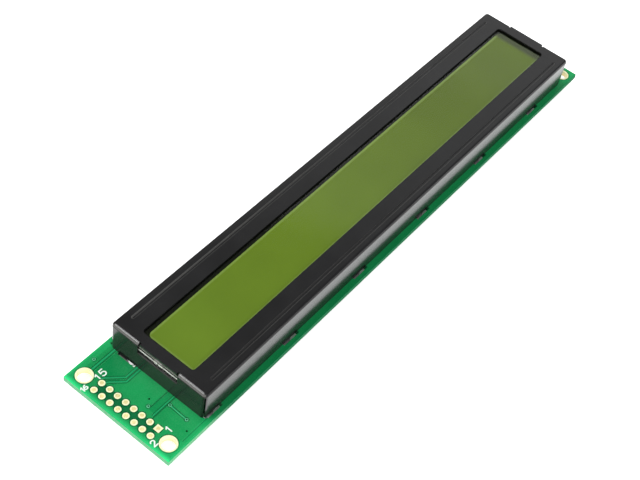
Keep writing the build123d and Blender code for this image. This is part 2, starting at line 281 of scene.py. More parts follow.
@dataclass(frozen=True)
class SolderMask:
    """Glossy green mask over copper or bare laminate, with pale cut edges; painted light makes the mask paler
    towards the board's ends and sides and along the shaded margins beside the bezel, and painted shade
    darkens the cut edges away from the connector's end.
    """

    coat: Coat
    # rim is the pale green of that painted light
    rim: Colour = (0.040, 0.90, 0.29)
    edge: Colour = (0.235, 0.62, 0.32)
    edge_drift: Colour = (0.22, 0.66, 0.36)
    # edge_far is painted shade on the cut edges away from the connector's end
    edge_far: Colour = (0.012, 0.20, 0.075)
    half_length: float = 91.0
    half_width: float = 16.5
    end_rim: float = 1.6
    side_rim: float = 0.9
    margin: Point2 = (14.6, 15.0)
    margin_glow: float = 0.11
    side_glow: float = 0.45
    fibre: Point3 = (0.06, 0.06, 3.0)
    specular: float = 0.12
    relief_mm: float = 0.05

    def glow(self, graph: Graph, near: NodeSocket) -> NodeSocket:
        """Share of painted light on the mask: light coming through the board towards its ends and sides, and
        along the shaded margins beside the bezel.

        Args:
            graph: The material's graph.
            near: Share that falls off from the connector's end.

        Returns:
            The share's socket.
        """
        x, across = graph.axis("X"), graph.magnitude(graph.axis("Y"))
        end = graph.fade(graph.magnitude(x), self.half_length - self.end_rim, self.half_length)
        corner = graph.fade(across, 0.45 * self.half_width, self.half_width, (0.5, 1.0))
        rise = graph.times(graph.math("POWER", end, 1.4), corner, graph.fade(x, -50.0, 50.0, (1.0, 0.15)))
        side = graph.fade(across, self.half_width - self.side_rim, self.half_width)
        margin = graph.fade(across, *self.margin, (0.0, self.margin_glow))
        return graph.most(rise, graph.times(side, near, self.side_glow), margin)

    def make(self) -> Material:
        """Builds the material."""
        graph = Graph(f"solder_mask_{self.coat.name.lower()}")
        patch, grain = graph.noise(9.0), graph.noise(0.25, 2.0)
        near = graph.fade(graph.axis("X"), -self.half_length, -0.62 * self.half_length, (1.0, 0.12))
        light = tuple(c + 0.002 for c in dim(self.coat.value, 1.22))
        colour = graph.blend(graph.ramp(patch, 0.35, 0.68), self.coat.value, light)
        # Painted light: paler mask towards the ends and sides and beside the bezel.
        colour = graph.blend(self.glow(graph, near), colour, self.rim)
        layers = graph.ramp(graph.noise(0.35, 2.0, self.fibre), 0.35, 0.65)
        cut = graph.blend(layers, self.edge, self.edge_drift)
        # Painted shade: the cut edges darken away from the connector's end.
        cut = graph.blend(graph.ramp(near, 0.45, 0.7), self.edge_far, cut)
        flat = graph.magnitude(graph.facing("Z"))
        rough = graph.plus(graph.ramp(flat, 0.3, 0.6, (0.7, 0.26)), graph.vary(grain, -0.04, 0.06))
        height = graph.plus(graph.times(patch, 0.6), graph.times(grain, 0.15))
        return graph.surface(graph.blend(graph.ramp(flat, 0.3, 0.6), cut, colour), rough, {
            "Specular IOR Level": self.specular, "Normal": graph.bump(height, self.relief_mm),
        })


@dataclass(frozen=True)
class Plating:
    """Thin satin gold on the pads, and a wall down each barrel paler than the pads as painted light inside
    the bright hole, warmer and darker lower down as painted shade.
    """

    face: Colour = (0.90, 0.93, 0.62)
    tarnish: Colour = (0.92, 0.89, 0.50)
    # wall and depth are painted light and shade down the barrel
    wall: Colour = (0.97, 0.92, 0.56)
    depth: Colour = (0.98, 0.80, 0.44)
    wall_z: Point2 = (2.3, 3.3)
    metallic: Point2 = (0.85, 0.12)
    relief_mm: float = 0.006

    def make(self) -> Material:
        """Builds the material."""
        graph = Graph("gold_plate")
        patch, grain = graph.noise(1.2), graph.noise(0.12, 2.0)
        flat = graph.ramp(graph.magnitude(graph.facing("Z")), 0.2, 0.5)
        gold = graph.blend(graph.ramp(patch, 0.35, 0.7), self.face, self.tarnish)
        # Painted light near the top of the barrel, painted shade lower down.
        wall = graph.blend(graph.fade(graph.axis("Z"), *self.wall_z), self.depth, self.wall)
        rough = graph.plus(graph.vary(patch, 0.30, 0.42), graph.ramp(grain, 0.4, 0.7, (0.0, 0.06)))
        return graph.surface(graph.blend(flat, wall, gold), rough, {
            "Metallic": graph.ramp(flat, 0.0, 1.0, self.metallic),
            "Normal": graph.bump(grain, self.relief_mm),
        })


@dataclass(frozen=True)
class BlackPaint:
    """Satin black stoving paint on steel: fine orange peel, specks and a clear gloss, with painted highlights
    in pale grey.
    """

    colour: Colour = (0.0120, 0.0120, 0.0124)
    dust: Colour = (0.034, 0.034, 0.036)
    # steel is the pale grey of the painted highlights, and of bare steel at the tongue's cut edge
    steel: Colour = (0.15, 0.15, 0.142)
    roughness: float = 0.19
    tongue_edge: Point2 = (12.4, 12.6)
    tongue_face: Point2 = (-77.12, 83.52)
    sill: Point2 = (9.2, 9.4)
    bead_floor: float = 12.5
    near_bend: Point2 = (-77.6, -76.98)
    bead_band: Point2 = (11.3, 13.2)
    bead_run: Point2 = (-73.7, 79.9)
    reach: Point2 = (-60.0, 70.0)
    soft: float = 0.02
    specular: float = 0.12
    relief_mm: float = 0.008

    def bare_edge_and_highlights(self, graph: Graph) -> NodeSocket:
        """Share of pale grey: painted highlight on the shoulders of the beads, the near bend and the sill's
        edge, and at the tongue's cut edge over the end windows partly bare steel, partly painted highlight.

        Args:
            graph: The material's graph.

        Returns:
            The share's socket.
        """
        x, y, z = (graph.axis(name) for name in "XYZ")
        side, upward, floor = graph.facing("Y"), graph.facing("Z"), self.bead_floor
        beyond = graph.math("SUBTRACT", 1.0, graph.band(x, self.tongue_face, self.soft))
        tongue = graph.times(beyond, graph.band(z, self.tongue_edge, self.soft))
        sill = graph.times(graph.band(z, self.sill, self.soft), graph.ramp(upward, 0.6, 0.8, (0.0, 0.25)))
        slope = graph.times(
            graph.band(graph.magnitude(y), self.bead_band, self.soft),
            graph.band(x, self.bead_run, self.soft),
            graph.fade(z, floor, floor + 0.05), graph.ramp(upward, 0.95, 0.99, FALL),
        )
        behind, before = graph.ramp(side, 0.0, 0.3, FALL), graph.ramp(side, 0.0, 0.3)
        rear_bead = graph.fade(y, -1.0, 1.0, (0.3, 1.0))
        back = graph.times(behind, graph.fade(x, *self.reach, (0.5, 0.1)), rear_bead)
        front = graph.times(before, graph.fade(x, *self.reach, (0.3, 0.4)))
        bend = graph.times(
            graph.band(x, self.near_bend, self.soft), graph.ramp(upward, 0.4, 0.6, (0.0, 0.85)),
            graph.ramp(upward, 0.9, 0.98, FALL), graph.fade(z, floor - 0.2, floor),
        )
        return graph.most(graph.times(slope, graph.plus(back, front)), bend, tongue, sill)

    def make(self) -> Material:
        """Builds the material."""
        graph = Graph("black_paint")
        peel, specks, patch = graph.noise(0.55, 2.0), graph.noise(0.12, 2.0), graph.noise(14.0)
        colour = graph.tone(patch, self.colour, dim(self.colour, 1.4))
        colour = graph.blend(graph.ramp(specks, 0.66, 0.78), colour, self.dust)
        drift = graph.vary(patch, self.roughness - 0.03, self.roughness + 0.05)
        rough = graph.plus(drift, graph.ramp(specks, 0.4, 0.75, (0.0, 0.08)))
        height = graph.plus(graph.times(peel, 0.8), graph.times(specks, 0.25))
        # Painted highlights in steel grey on the beads, the near bend and the sill; bare steel with a painted
        # highlight at the tongue's edge.
        return graph.surface(graph.blend(self.bare_edge_and_highlights(graph), colour, self.steel), rough, {
            "Specular IOR Level": self.specular, "Coat Weight": 1.0, "Coat Roughness": 0.16,
            "Coat IOR": 1.22, "Normal": graph.bump(height, self.relief_mm),
        })


@dataclass(frozen=True)
class Pane:
    """Polished sheet glass that lets lamps reach what lies under it."""

    name: str
    tint: Colour = (0.95, 0.98, 0.94)
    ior: float = 1.5

    def make(self) -> Material:
        """Builds the material."""
        graph = Graph(self.name)
        smear = graph.noise(3.0, 2.0)
        glass = graph.add("BsdfPrincipled", {
            "Base Color": graph.blend(smear, self.tint, dim(self.tint, 0.98)),
            "Roughness": graph.vary(smear, 0.02, 0.05), "IOR": self.ior, "Transmission Weight": 1.0,
        }).outputs[0]
        lamp = graph.add("BsdfTransparent", {"Color": self.tint}).outputs[0]
        shadow = graph.add("LightPath").outputs["Is Shadow Ray"]
        return graph.finish(graph.add("MixShader", {0: shadow, 1: glass, 2: lamp}))


@dataclass(frozen=True)
class GroundEdge:
    """Scribed and broken edge of a glass plate, also used on the end seal: a pale band, partly the frosted
    edge's own colour and partly painted light carried through the glass, painted shade nearly black beside
    it, with an optional seam.
    """

    name: str
    bright: Colour
    span: Point2
    seam: float = 0.0
    # dark is painted shade on the edge beside the band
    dark: Colour = (0.010, 0.012, 0.008)
    soft: float = 0.04
    # upper_glint and glint give a thin painted highlight over a seamed band
    upper_glint: Point2 = (11.40, 11.48)
    glint: float = 0.45
    relief_mm: float = 0.02

    def make(self) -> Material:
        """Builds the material."""
        graph = Graph(self.name)
        chips, height = graph.noise(0.15, 3.0, (1.0, 1.0, 0.3)), graph.axis("Z")
        band = graph.band(height, self.span, self.soft)
        if self.seam:
            across = graph.magnitude(graph.axis("Y"))
            band = graph.times(band, graph.fade(across, 0.6 * self.seam, 1.2 * self.seam))
            band = graph.most(band, graph.fade(height, *self.upper_glint, (0.0, self.glint)))
        # Painted light in the band, painted shade beside it.
        colour = graph.blend(band, self.dark, graph.tone(chips, self.bright, dim(self.bright, 0.75)))
        return graph.surface(colour, graph.vary(chips, 0.4, 0.6), {
            "Specular IOR Level": 0.15, "Normal": graph.bump(chips, self.relief_mm),
        })


@dataclass(frozen=True)
class FilmFace:
    """Satin front polarizer: a faint grey-green veil with a soft, broken gloss."""

    tint: Colour = (0.86, 0.93, 0.72)
    roughness: Point2 = (0.06, 0.12)
    ior: float = 1.43
    relief_mm: float = 0.001

    def make(self) -> Material:
        """Builds the material."""
        graph = Graph("polarizer_film")
        grain, patch = graph.noise(0.09, 2.0), graph.noise(20.0, 2.0)
        veil = graph.tone(patch, self.tint, dim(self.tint, 0.97))
        clear = graph.add("BsdfTransparent", {"Color": veil}).outputs[0]
        gloss = graph.add("BsdfGlossy", {
            "Color": WHITE, "Roughness": graph.vary(grain, *self.roughness),
            "Normal": graph.bump(grain, self.relief_mm),
        }).outputs[0]
        outside = graph.math("SUBTRACT", 1.0, graph.add("NewGeometry").outputs["Backfacing"])
        share = graph.times(graph.add("Fresnel", {"IOR": self.ior}).outputs[0], outside)
        return graph.finish(graph.add("MixShader", {0: share, 1: clear, 2: gloss}))


@dataclass(frozen=True)
class GreenFilm:
    """Yellow-green reflective film seen through the cell, a little uneven, darker towards the far end as
    painted shade, greyer at its far edge, with a woven sparkle.
    """

    colour: Colour = (0.246, 0.303, 0.052)
    lean: Colour = (0.224, 0.284, 0.052)
    # far is painted shade along the film's length
    far: Colour = (0.157, 0.185, 0.010)
    far_x: Point2 = (-70.0, 50.0)
    pale: Colour = (0.060, 0.060, 0.043)
    pale_x: Point2 = (76.7, 78.2)
    rim: Colour = (0.36, 0.40, 0.22)
    rim_share: float = 0.75
    rim_x: Point2 = (-73.05, -73.45)
    rim_low: Point2 = (-7.2, -7.5)
    rim_high: Point2 = (6.2, 6.5)
    rim_slope: float = 0.002
    sparkle: float = 0.08

    def make(self) -> Material:
        """Builds the material."""
        graph = Graph("green_film")
        patch, grain = graph.noise(30.0, 2.0), graph.noise(0.12, 2.0)
        x, y = graph.axis("X"), graph.axis("Y")
        slanted = graph.math("SUBTRACT", y, graph.times(x, self.rim_slope))
        sides = graph.most(graph.fade(y, *self.rim_low), graph.fade(slanted, *self.rim_high))
        rim = graph.most(sides, graph.fade(x, *self.rim_x))
        colour = graph.tone(patch, self.colour, self.lean)
        # Painted shade: the film darkens towards the far end.
        colour = graph.blend(graph.fade(x, *self.far_x), colour, self.far)
        colour = graph.blend(graph.times(rim, self.rim_share), colour, self.rim)
        colour = graph.blend(graph.fade(x, *self.pale_x), colour, self.pale)
        colour = graph.blend(graph.times(grain, self.sparkle), colour, BLACK)
        return graph.surface(colour, graph.vary(grain, 0.5, 0.62), {"Specular IOR Level": 0.3})


@dataclass(frozen=True)
class LayeredRubber:
    """Contact strip: thin black conductive layers between pale insulating ones."""

    pitch_mm: float = 0.18
    carbon: Colour = (0.02, 0.02, 0.022)
    pale: Colour = (0.32, 0.33, 0.34)

    def make(self) -> Material:
        """Builds the material."""
        graph = Graph("contact_rubber")
        scale = 1.0 / (self.pitch_mm * MM * 6.28)
        inputs = {"Vector": graph.coords, "Scale": scale, "Distortion": 0.4, "Detail": 1.0}
        wave = graph.add("TexWave", inputs, bands_direction="X").outputs["Fac"]
        grain = graph.noise(0.1, 2.0)
        colour = graph.blend(graph.ramp(wave, 0.35, 0.65), self.carbon, self.pale)
        return graph.surface(colour, graph.vary(grain, 0.55, 0.75), {"Normal": graph.bump(grain, 0.01)})


# ---- Mesh tools


def new_object(name: str, mesh: Mesh, material: Material | None = None) -> Object:
    """Links a mesh to the scene as an object at the origin.

    Args:
        name: Name of the object and its mesh.
        mesh: The mesh, in metres.
        material: Its material, if it has one yet.

    Returns:
        The object.
    """
    mesh.name = name
    if material is not None:
        mesh.materials.append(material)
    piece = bpy.data.objects.new(name, mesh)
    bpy.context.scene.collection.objects.link(piece)
    return piece


def loose_mesh(vertices: Iterable[Sequence[float]], edges: Sequence = (), faces: Sequence = ()) -> Mesh:
    """Makes a mesh in metres from millimetre points, with edges or faces as indices."""
    mesh = bpy.data.meshes.new("mesh")
    mesh.from_pydata([Vector(v) * MM for v in vertices], edges, faces)
    return mesh


def mesh_from(vertices: Iterable[Point3], faces: Sequence[Sequence[int]]) -> Mesh:
    """Makes a closed mesh from millimetre points, with normals pointing outwards.

    Args:
        vertices: Points in millimetres.
        faces: Vertex indices of each face.

    Returns:
        The mesh in metres.
    """
    mesh = loose_mesh(vertices, [], faces)
    tidy_mesh(mesh)
    return mesh


def tidy_mesh(mesh: Mesh, flatten: float = 0.0) -> None:
    """Merges doubles and makes the normals point outwards.

    Args:
        mesh: The mesh to tidy.
        flatten: Angle in degrees under which flat faces join, or 0 for none.
    """
    bm = bmesh.new()
    bm.from_mesh(mesh)
    bmesh.ops.remove_doubles(bm, verts=bm.verts, dist=MERGE_MM * MM)
    bmesh.ops.delete(bm, geom=[v for v in bm.verts if not v.link_faces], context="VERTS")
    if flatten:
        bmesh.ops.dissolve_limit(bm, angle_limit=math.radians(flatten), verts=bm.verts, edges=bm.edges)
    bmesh.ops.recalc_face_normals(bm, faces=bm.faces)
    bm.to_mesh(mesh)
    bm.free()


def around(count: int) -> list[tuple[int, int]]:
    """Pairs each index of a ring with the next."""
    return [(i, (i + 1) % count) for i in range(count)]


def polar(x: float, y: float, radius: float, angle: float) -> Point2:
    """Point at an angle in radians round a centre."""
    return (x + radius * math.cos(angle), y + radius * math.sin(angle))


def turned(v: Vector, angle: float) -> Vector:
    """Turns a plane vector anticlockwise by an angle in radians."""
    sine, cosine = math.sin(angle), math.cos(angle)
    return Vector((v.x * cosine - v.y * sine, v.x * sine + v.y * cosine))


def lathe(profile: Sequence[Point2], segments: int) -> Mesh:
    """Turns a closed profile about Z.

    Args:
        profile: Radius and height pairs in millimetres; a radius of 0 closes on the axis.
        segments: Steps round the axis.

    Returns:
        The mesh.
    """
    count = len(profile)
    angles = [2 * math.pi * step / segments for step in range(segments)]
    vertices = [(r * math.cos(a), r * math.sin(a), z) for a in angles for r, z in profile]
    faces = [
        (here * count + i, there * count + i, there * count + j, here * count + j)
        for here, there in around(segments) for i, j in around(count)
    ]
    return mesh_from(vertices, faces)


def smooth(piece: Object, angle: float = 35.0) -> None:
    """Shades a piece smooth except over edges sharper than an angle in degrees."""
    piece.data.shade_smooth()
    piece.data.set_sharp_from_angle(angle=math.radians(angle))


def baked(piece: Object) -> Object:
    """Turns a piece's evaluated modifiers into its own plain mesh.

    Args:
        piece: The piece with modifiers.

    Returns:
        The same piece.
    """
    graph = bpy.context.evaluated_depsgraph_get()
    graph.update()
    result = bpy.data.meshes.new_from_object(piece.evaluated_get(graph))
    piece.modifiers.clear()
    old, piece.data = piece.data, result
    result.name = piece.name
    bpy.data.meshes.remove(old)
    return piece


def edge_break(piece: Object, width_mm: float, angle: float, segments: int = 2) -> None:
    """Rounds a piece's sharp edges a little.

    Args:
        piece: The piece.
        width_mm: Width of the rounding.
        angle: Edges sharper than this, in degrees, are rounded.
        segments: Faces across the rounding.
    """
    smooth(piece, 38.0)
    bevel = piece.modifiers.new("edge_break", "BEVEL")
    bevel.width = width_mm * MM
    bevel.segments = segments
    bevel.limit_method = "ANGLE"
    bevel.angle_limit = math.radians(angle)
    bevel.use_clamp_overlap = True
    piece.modifiers.new("even_shading", "WEIGHTED_NORMAL").keep_sharp = True
    baked(piece)


def box_mesh(low: Point3, high: Point3) -> Mesh:
    """Makes a box between its lowest and highest corner, in millimetres."""
    faces = [(0, 1, 3, 2), (4, 6, 7, 5), (0, 4, 5, 1), (2, 3, 7, 6), (0, 2, 6, 4), (1, 5, 7, 3)]
    return mesh_from(product(*zip(low, high)), faces)


def rectangle(x0: float, x1: float, y0: float, y1: float) -> list[Point2]:
    """Corners of a rectangle, anticlockwise."""
    return [(x0, y0), (x1, y0), (x1, y1), (x0, y1)]


def rounded(points: Sequence[Point2], radius: float, steps: int = 8) -> list[Point2]:
    """Rounds the corners of a convex outline.

    Args:
        points: Its corners, anticlockwise, in millimetres.
        radius: Radius of the rounding.
        steps: Steps round each corner.

    Returns:
        The rounded outline.
    """
    result: list[Point2] = []
    for i, following in around(len(points)):
        here = Vector(points[i])
        before = (Vector(points[i - 1]) - here).normalized()
        after = (Vector(points[following]) - here).normalized()
        half = before.angle(after) / 2
        centre = here + (before + after).normalized() * (radius / math.sin(half))
        first = here + before * (radius / math.tan(half)) - centre
        sweep = first.angle(here + after * (radius / math.tan(half)) - centre)
        result += [tuple(centre + turned(first, sweep * k / steps)) for k in range(steps + 1)]
    return result


def inside(point: Point2, outline: Sequence[Point2]) -> bool:
    """Tells whether a point lies inside an outline.

    Args:
        point: The point.
        outline: The outline's corners.

    Returns:
        True if it is inside.
    """
    x, y = point
    crossed = False
    for (ax, ay), (bx, by) in zip(outline, [*outline[1:], outline[0]]):
        if (ay > y) != (by > y) and x < (bx - ax) * (y - ay) / (by - ay) + ax:
            crossed = not crossed
    return crossed


def filled(loops: Sequence[Sequence[Point2]], solid: Callable[[Point2], bool]) -> Flat:
    """Fills the flat shape between outlines with triangles.

    Args:
        loops: Closed outlines, which may cross.
        solid: Tells whether a point belongs to the shape.

    Returns:
        The points and the triangles, anticlockwise.
    """
    points: list[Vector] = []
    edges: list[tuple[int, int]] = []
    for loop in loops:
        first = len(points)
        points += [Vector(p) for p in loop]
        edges += [(first + i, first + j) for i, j in around(len(loop))]
    verts, _, faces, *_ = delaunay_2d_cdt(points, edges, [], 0, 1e-6)
    middles = [sum((verts[i] for i in face), Vector((0.0, 0.0))) / len(face) for face in faces]
    kept = [tuple(face) for face, middle in zip(faces, middles) if solid(tuple(middle))]
    return [tuple(v) for v in verts], kept


def pierced(outer: Sequence[Point2], holes: Sequence[Sequence[Point2]]) -> Flat:
    """Fills an outline that has holes."""
    return filled([outer, *holes], lambda p: inside(p, outer) and not any(inside(p, hole) for hole in holes))


def plate_mesh(flat: Flat, low: float, high: float) -> Mesh:
    """Gives a flat shape its thickness.

    Args:
        flat: Its points and triangles.
        low: Bottom height.
        high: Top height.

    Returns:
        The mesh.
    """
    points, faces = flat
    count = len(points)
    vertices = [(x, y, z) for z in (low, high) for x, y in points]
    shell = [face[::-1] for face in faces] + [tuple(i + count for i in face) for face in faces]
    used = {(a, b) for face in faces for a, b in zip(face, face[1:] + face[:1])}
    shell += [(a, b, b + count, a + count) for a, b in used if (b, a) not in used]
    return mesh_from(vertices, shell)


def capsule(a: Point2, b: Point2, radius: float) -> list[Point2]:
    """Outline of a pen stroke with round ends.

    Args:
        a: Its start.
        b: Its end.
        radius: Half its width.

    Returns:
        The outline, anticlockwise.
    """
    heading = math.atan2(b[1] - a[1], b[0] - a[0])
    ends = ((b, heading - math.pi / 2), (a, heading + math.pi / 2))
    return [polar(*centre, radius, start + math.pi * k / 8) for centre, start in ends for k in range(9)]


def arc(x: float, y: float, radius: float, start: float, end: float) -> list[Point2]:
    """Points along an arc round a centre, between two angles in degrees."""
    return [polar(x, y, radius, math.radians(start + (end - start) * k / 10)) for k in range(11)]


# ---- Geometry node trees


class Tree:
    """A geometry node tree with named inputs."""

    def __init__(self, name: str, **inputs: str) -> None:
        """Starts a tree with a geometry input and output.

        Args:
            name: The tree's name.
            **inputs: Socket type of each further input, without its prefix.
        """
        self.group = bpy.data.node_groups.new(name, "GeometryNodeTree")
        self.sockets: dict[str, str] = {}
        for title, kind in {"Geometry": "Geometry", **inputs}.items():
            self.sockets[title] = self.socket(title, "INPUT", kind)
        self.socket("Geometry", "OUTPUT", "Geometry")
        self.start = self.group.nodes.new("NodeGroupInput")
        self.end = self.group.nodes.new("NodeGroupOutput")

    def socket(self, name: str, way: str, kind: str) -> str:
        """Adds a socket to the tree's interface and returns its identifier."""
        face = self.group.interface
        return face.new_socket(name=name, in_out=way, socket_type="NodeSocket" + kind).identifier

    def add(self, kind: str, inputs: dict, **settings: object) -> NodeSocket:
        """Adds a node and links or sets its inputs.

        Args:
            kind: The node's type without its GeometryNode prefix.
            inputs: Values, sockets or names of the tree's inputs, by input name.
            **settings: Attributes to set on the node.

        Returns:
            The new node's first geometry output.
        """
        node = self.group.nodes.new("GeometryNode" + kind)
        for key, value in settings.items():
            setattr(node, key, value)
        for key, value in inputs.items():
            named = isinstance(value, str) and value in self.sockets
            feed(self.group.links, node.inputs[key], self.start.outputs[value] if named else value)
        return next(socket for socket in node.outputs if socket.type == "GEOMETRY")

    def close(self, geometry: NodeSocket) -> None:
        """Ends the tree in realized instances with a material.

        Args:
            geometry: The socket to end with.
        """
        real = self.add("RealizeInstances", {"Geometry": geometry})
        dressed = self.add("SetMaterial", {"Geometry": real, "Material": "Material"})
        self.group.links.new(dressed, self.end.inputs[0])

    def run(self, name: str, mesh: Mesh, **values: object) -> Object:
        """Runs the tree on a mesh and keeps the plain result.

        Args:
            name: Name of the piece.
            mesh: The mesh that the tree starts from.
            **values: Values for the named inputs.

        Returns:
            The finished piece.
        """
        piece = new_object(name, mesh)
        modifier = piece.modifiers.new("rule", "NODES")
        modifier.node_group = self.group
        for key, value in values.items():
            modifier[self.sockets[key]] = value
        return baked(piece)


def copies_tree() -> Tree:
    """Builds the tree that sets one master shape on every point.

    Returns:
        The tree, with inputs Master and Material.
    """
    tree = Tree("copies_on_points", Master="Object", Material="Material")
    master = tree.add("ObjectInfo", {"Object": "Master"})
    tree.close(tree.add("InstanceOnPoints", {"Points": "Geometry", "Instance": master}))
    return tree


def ribbon_tree() -> Tree:
    """Builds the tree that lays a flat ribbon along every edge path.

    Returns:
        The tree, with inputs Width, Height and Material.
    """
    tree = Tree("ribbons_on_paths", Width="Float", Height="Float", Material="Material")
    path = tree.add("MeshToCurve", {"Mesh": "Geometry"})
    upright = tree.add("SetCurveNormal", {"Curve": path}, mode="Z_UP")
    profile = tree.add("CurvePrimitiveQuadrilateral", {"Width": "Width", "Height": "Height"})
    tree.close(tree.add("CurveToMesh", {"Curve": upright, "Profile Curve": profile, "Fill Caps": True}))
    return tree


def paths_mesh(paths: Iterable[Sequence[Point2]], z: float) -> Mesh:
    """Makes a mesh of edge paths at one height.

    Args:
        paths: Corner points of each path in millimetres.
        z: Their height in millimetres.

    Returns:
        The mesh.
    """
    vertices: list[Point3] = []
    edges: list[tuple[int, int]] = []
    for path in paths:
        edges += [(len(vertices) + i, len(vertices) + i + 1) for i in range(len(path) - 1)]
        vertices += [(x, y, z) for x, y in path]
    return loose_mesh(vertices, edges)


# ---- Sub-assemblies


@dataclass
class Workshop:
    """What every sub-assembly shares: the CAD nodes, the trees and the list of pieces made."""

    nodes: dict[str, Object]
    copies: Tree
    ribbons: Tree
    made: list[str] = field(default_factory=list)

    def wear(self, node: str, finish: object) -> None:
        """Gives a CAD node its finish.

        Args:
            node: The node's name.
            finish: A finish with a make method, or a material.
        """
        materials = self.nodes[node].data.materials
        materials.clear()
        materials.append(finish if isinstance(finish, Material) else finish.make())
        LOG.info("dressed %s", node)

    def keep(self, piece: Object, slot: Slot, *replaced: str) -> None:
        """Attaches a finished piece to the body, hides the nodes it stands for and lists it.

        Args:
            piece: The finished piece.
            slot: The record's material slot; not used.
            *replaced: CAD nodes that it stands for.
        """
        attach(piece, BODY)
        if replaced:
            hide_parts(*replaced)
        self.made.append(piece.name)
        LOG.info("made %s with %d faces", piece.name, len(piece.data.polygons))

    def scatter(self, name: str, master: Mesh, points: Iterable[Point3], material: Material) -> Object:
        """Sets copies of a master mesh on points.

        Args:
            name: Name of the piece.
            master: The mesh to copy.
            points: Where, in millimetres.
            material: The material of the copies.

        Returns:
            The piece.
        """
        model = new_object(name + "_master", master)
        piece = self.copies.run(name, loose_mesh(points), Master=model, Material=material)
        bpy.data.objects.remove(model)
        smooth(piece)
        return piece


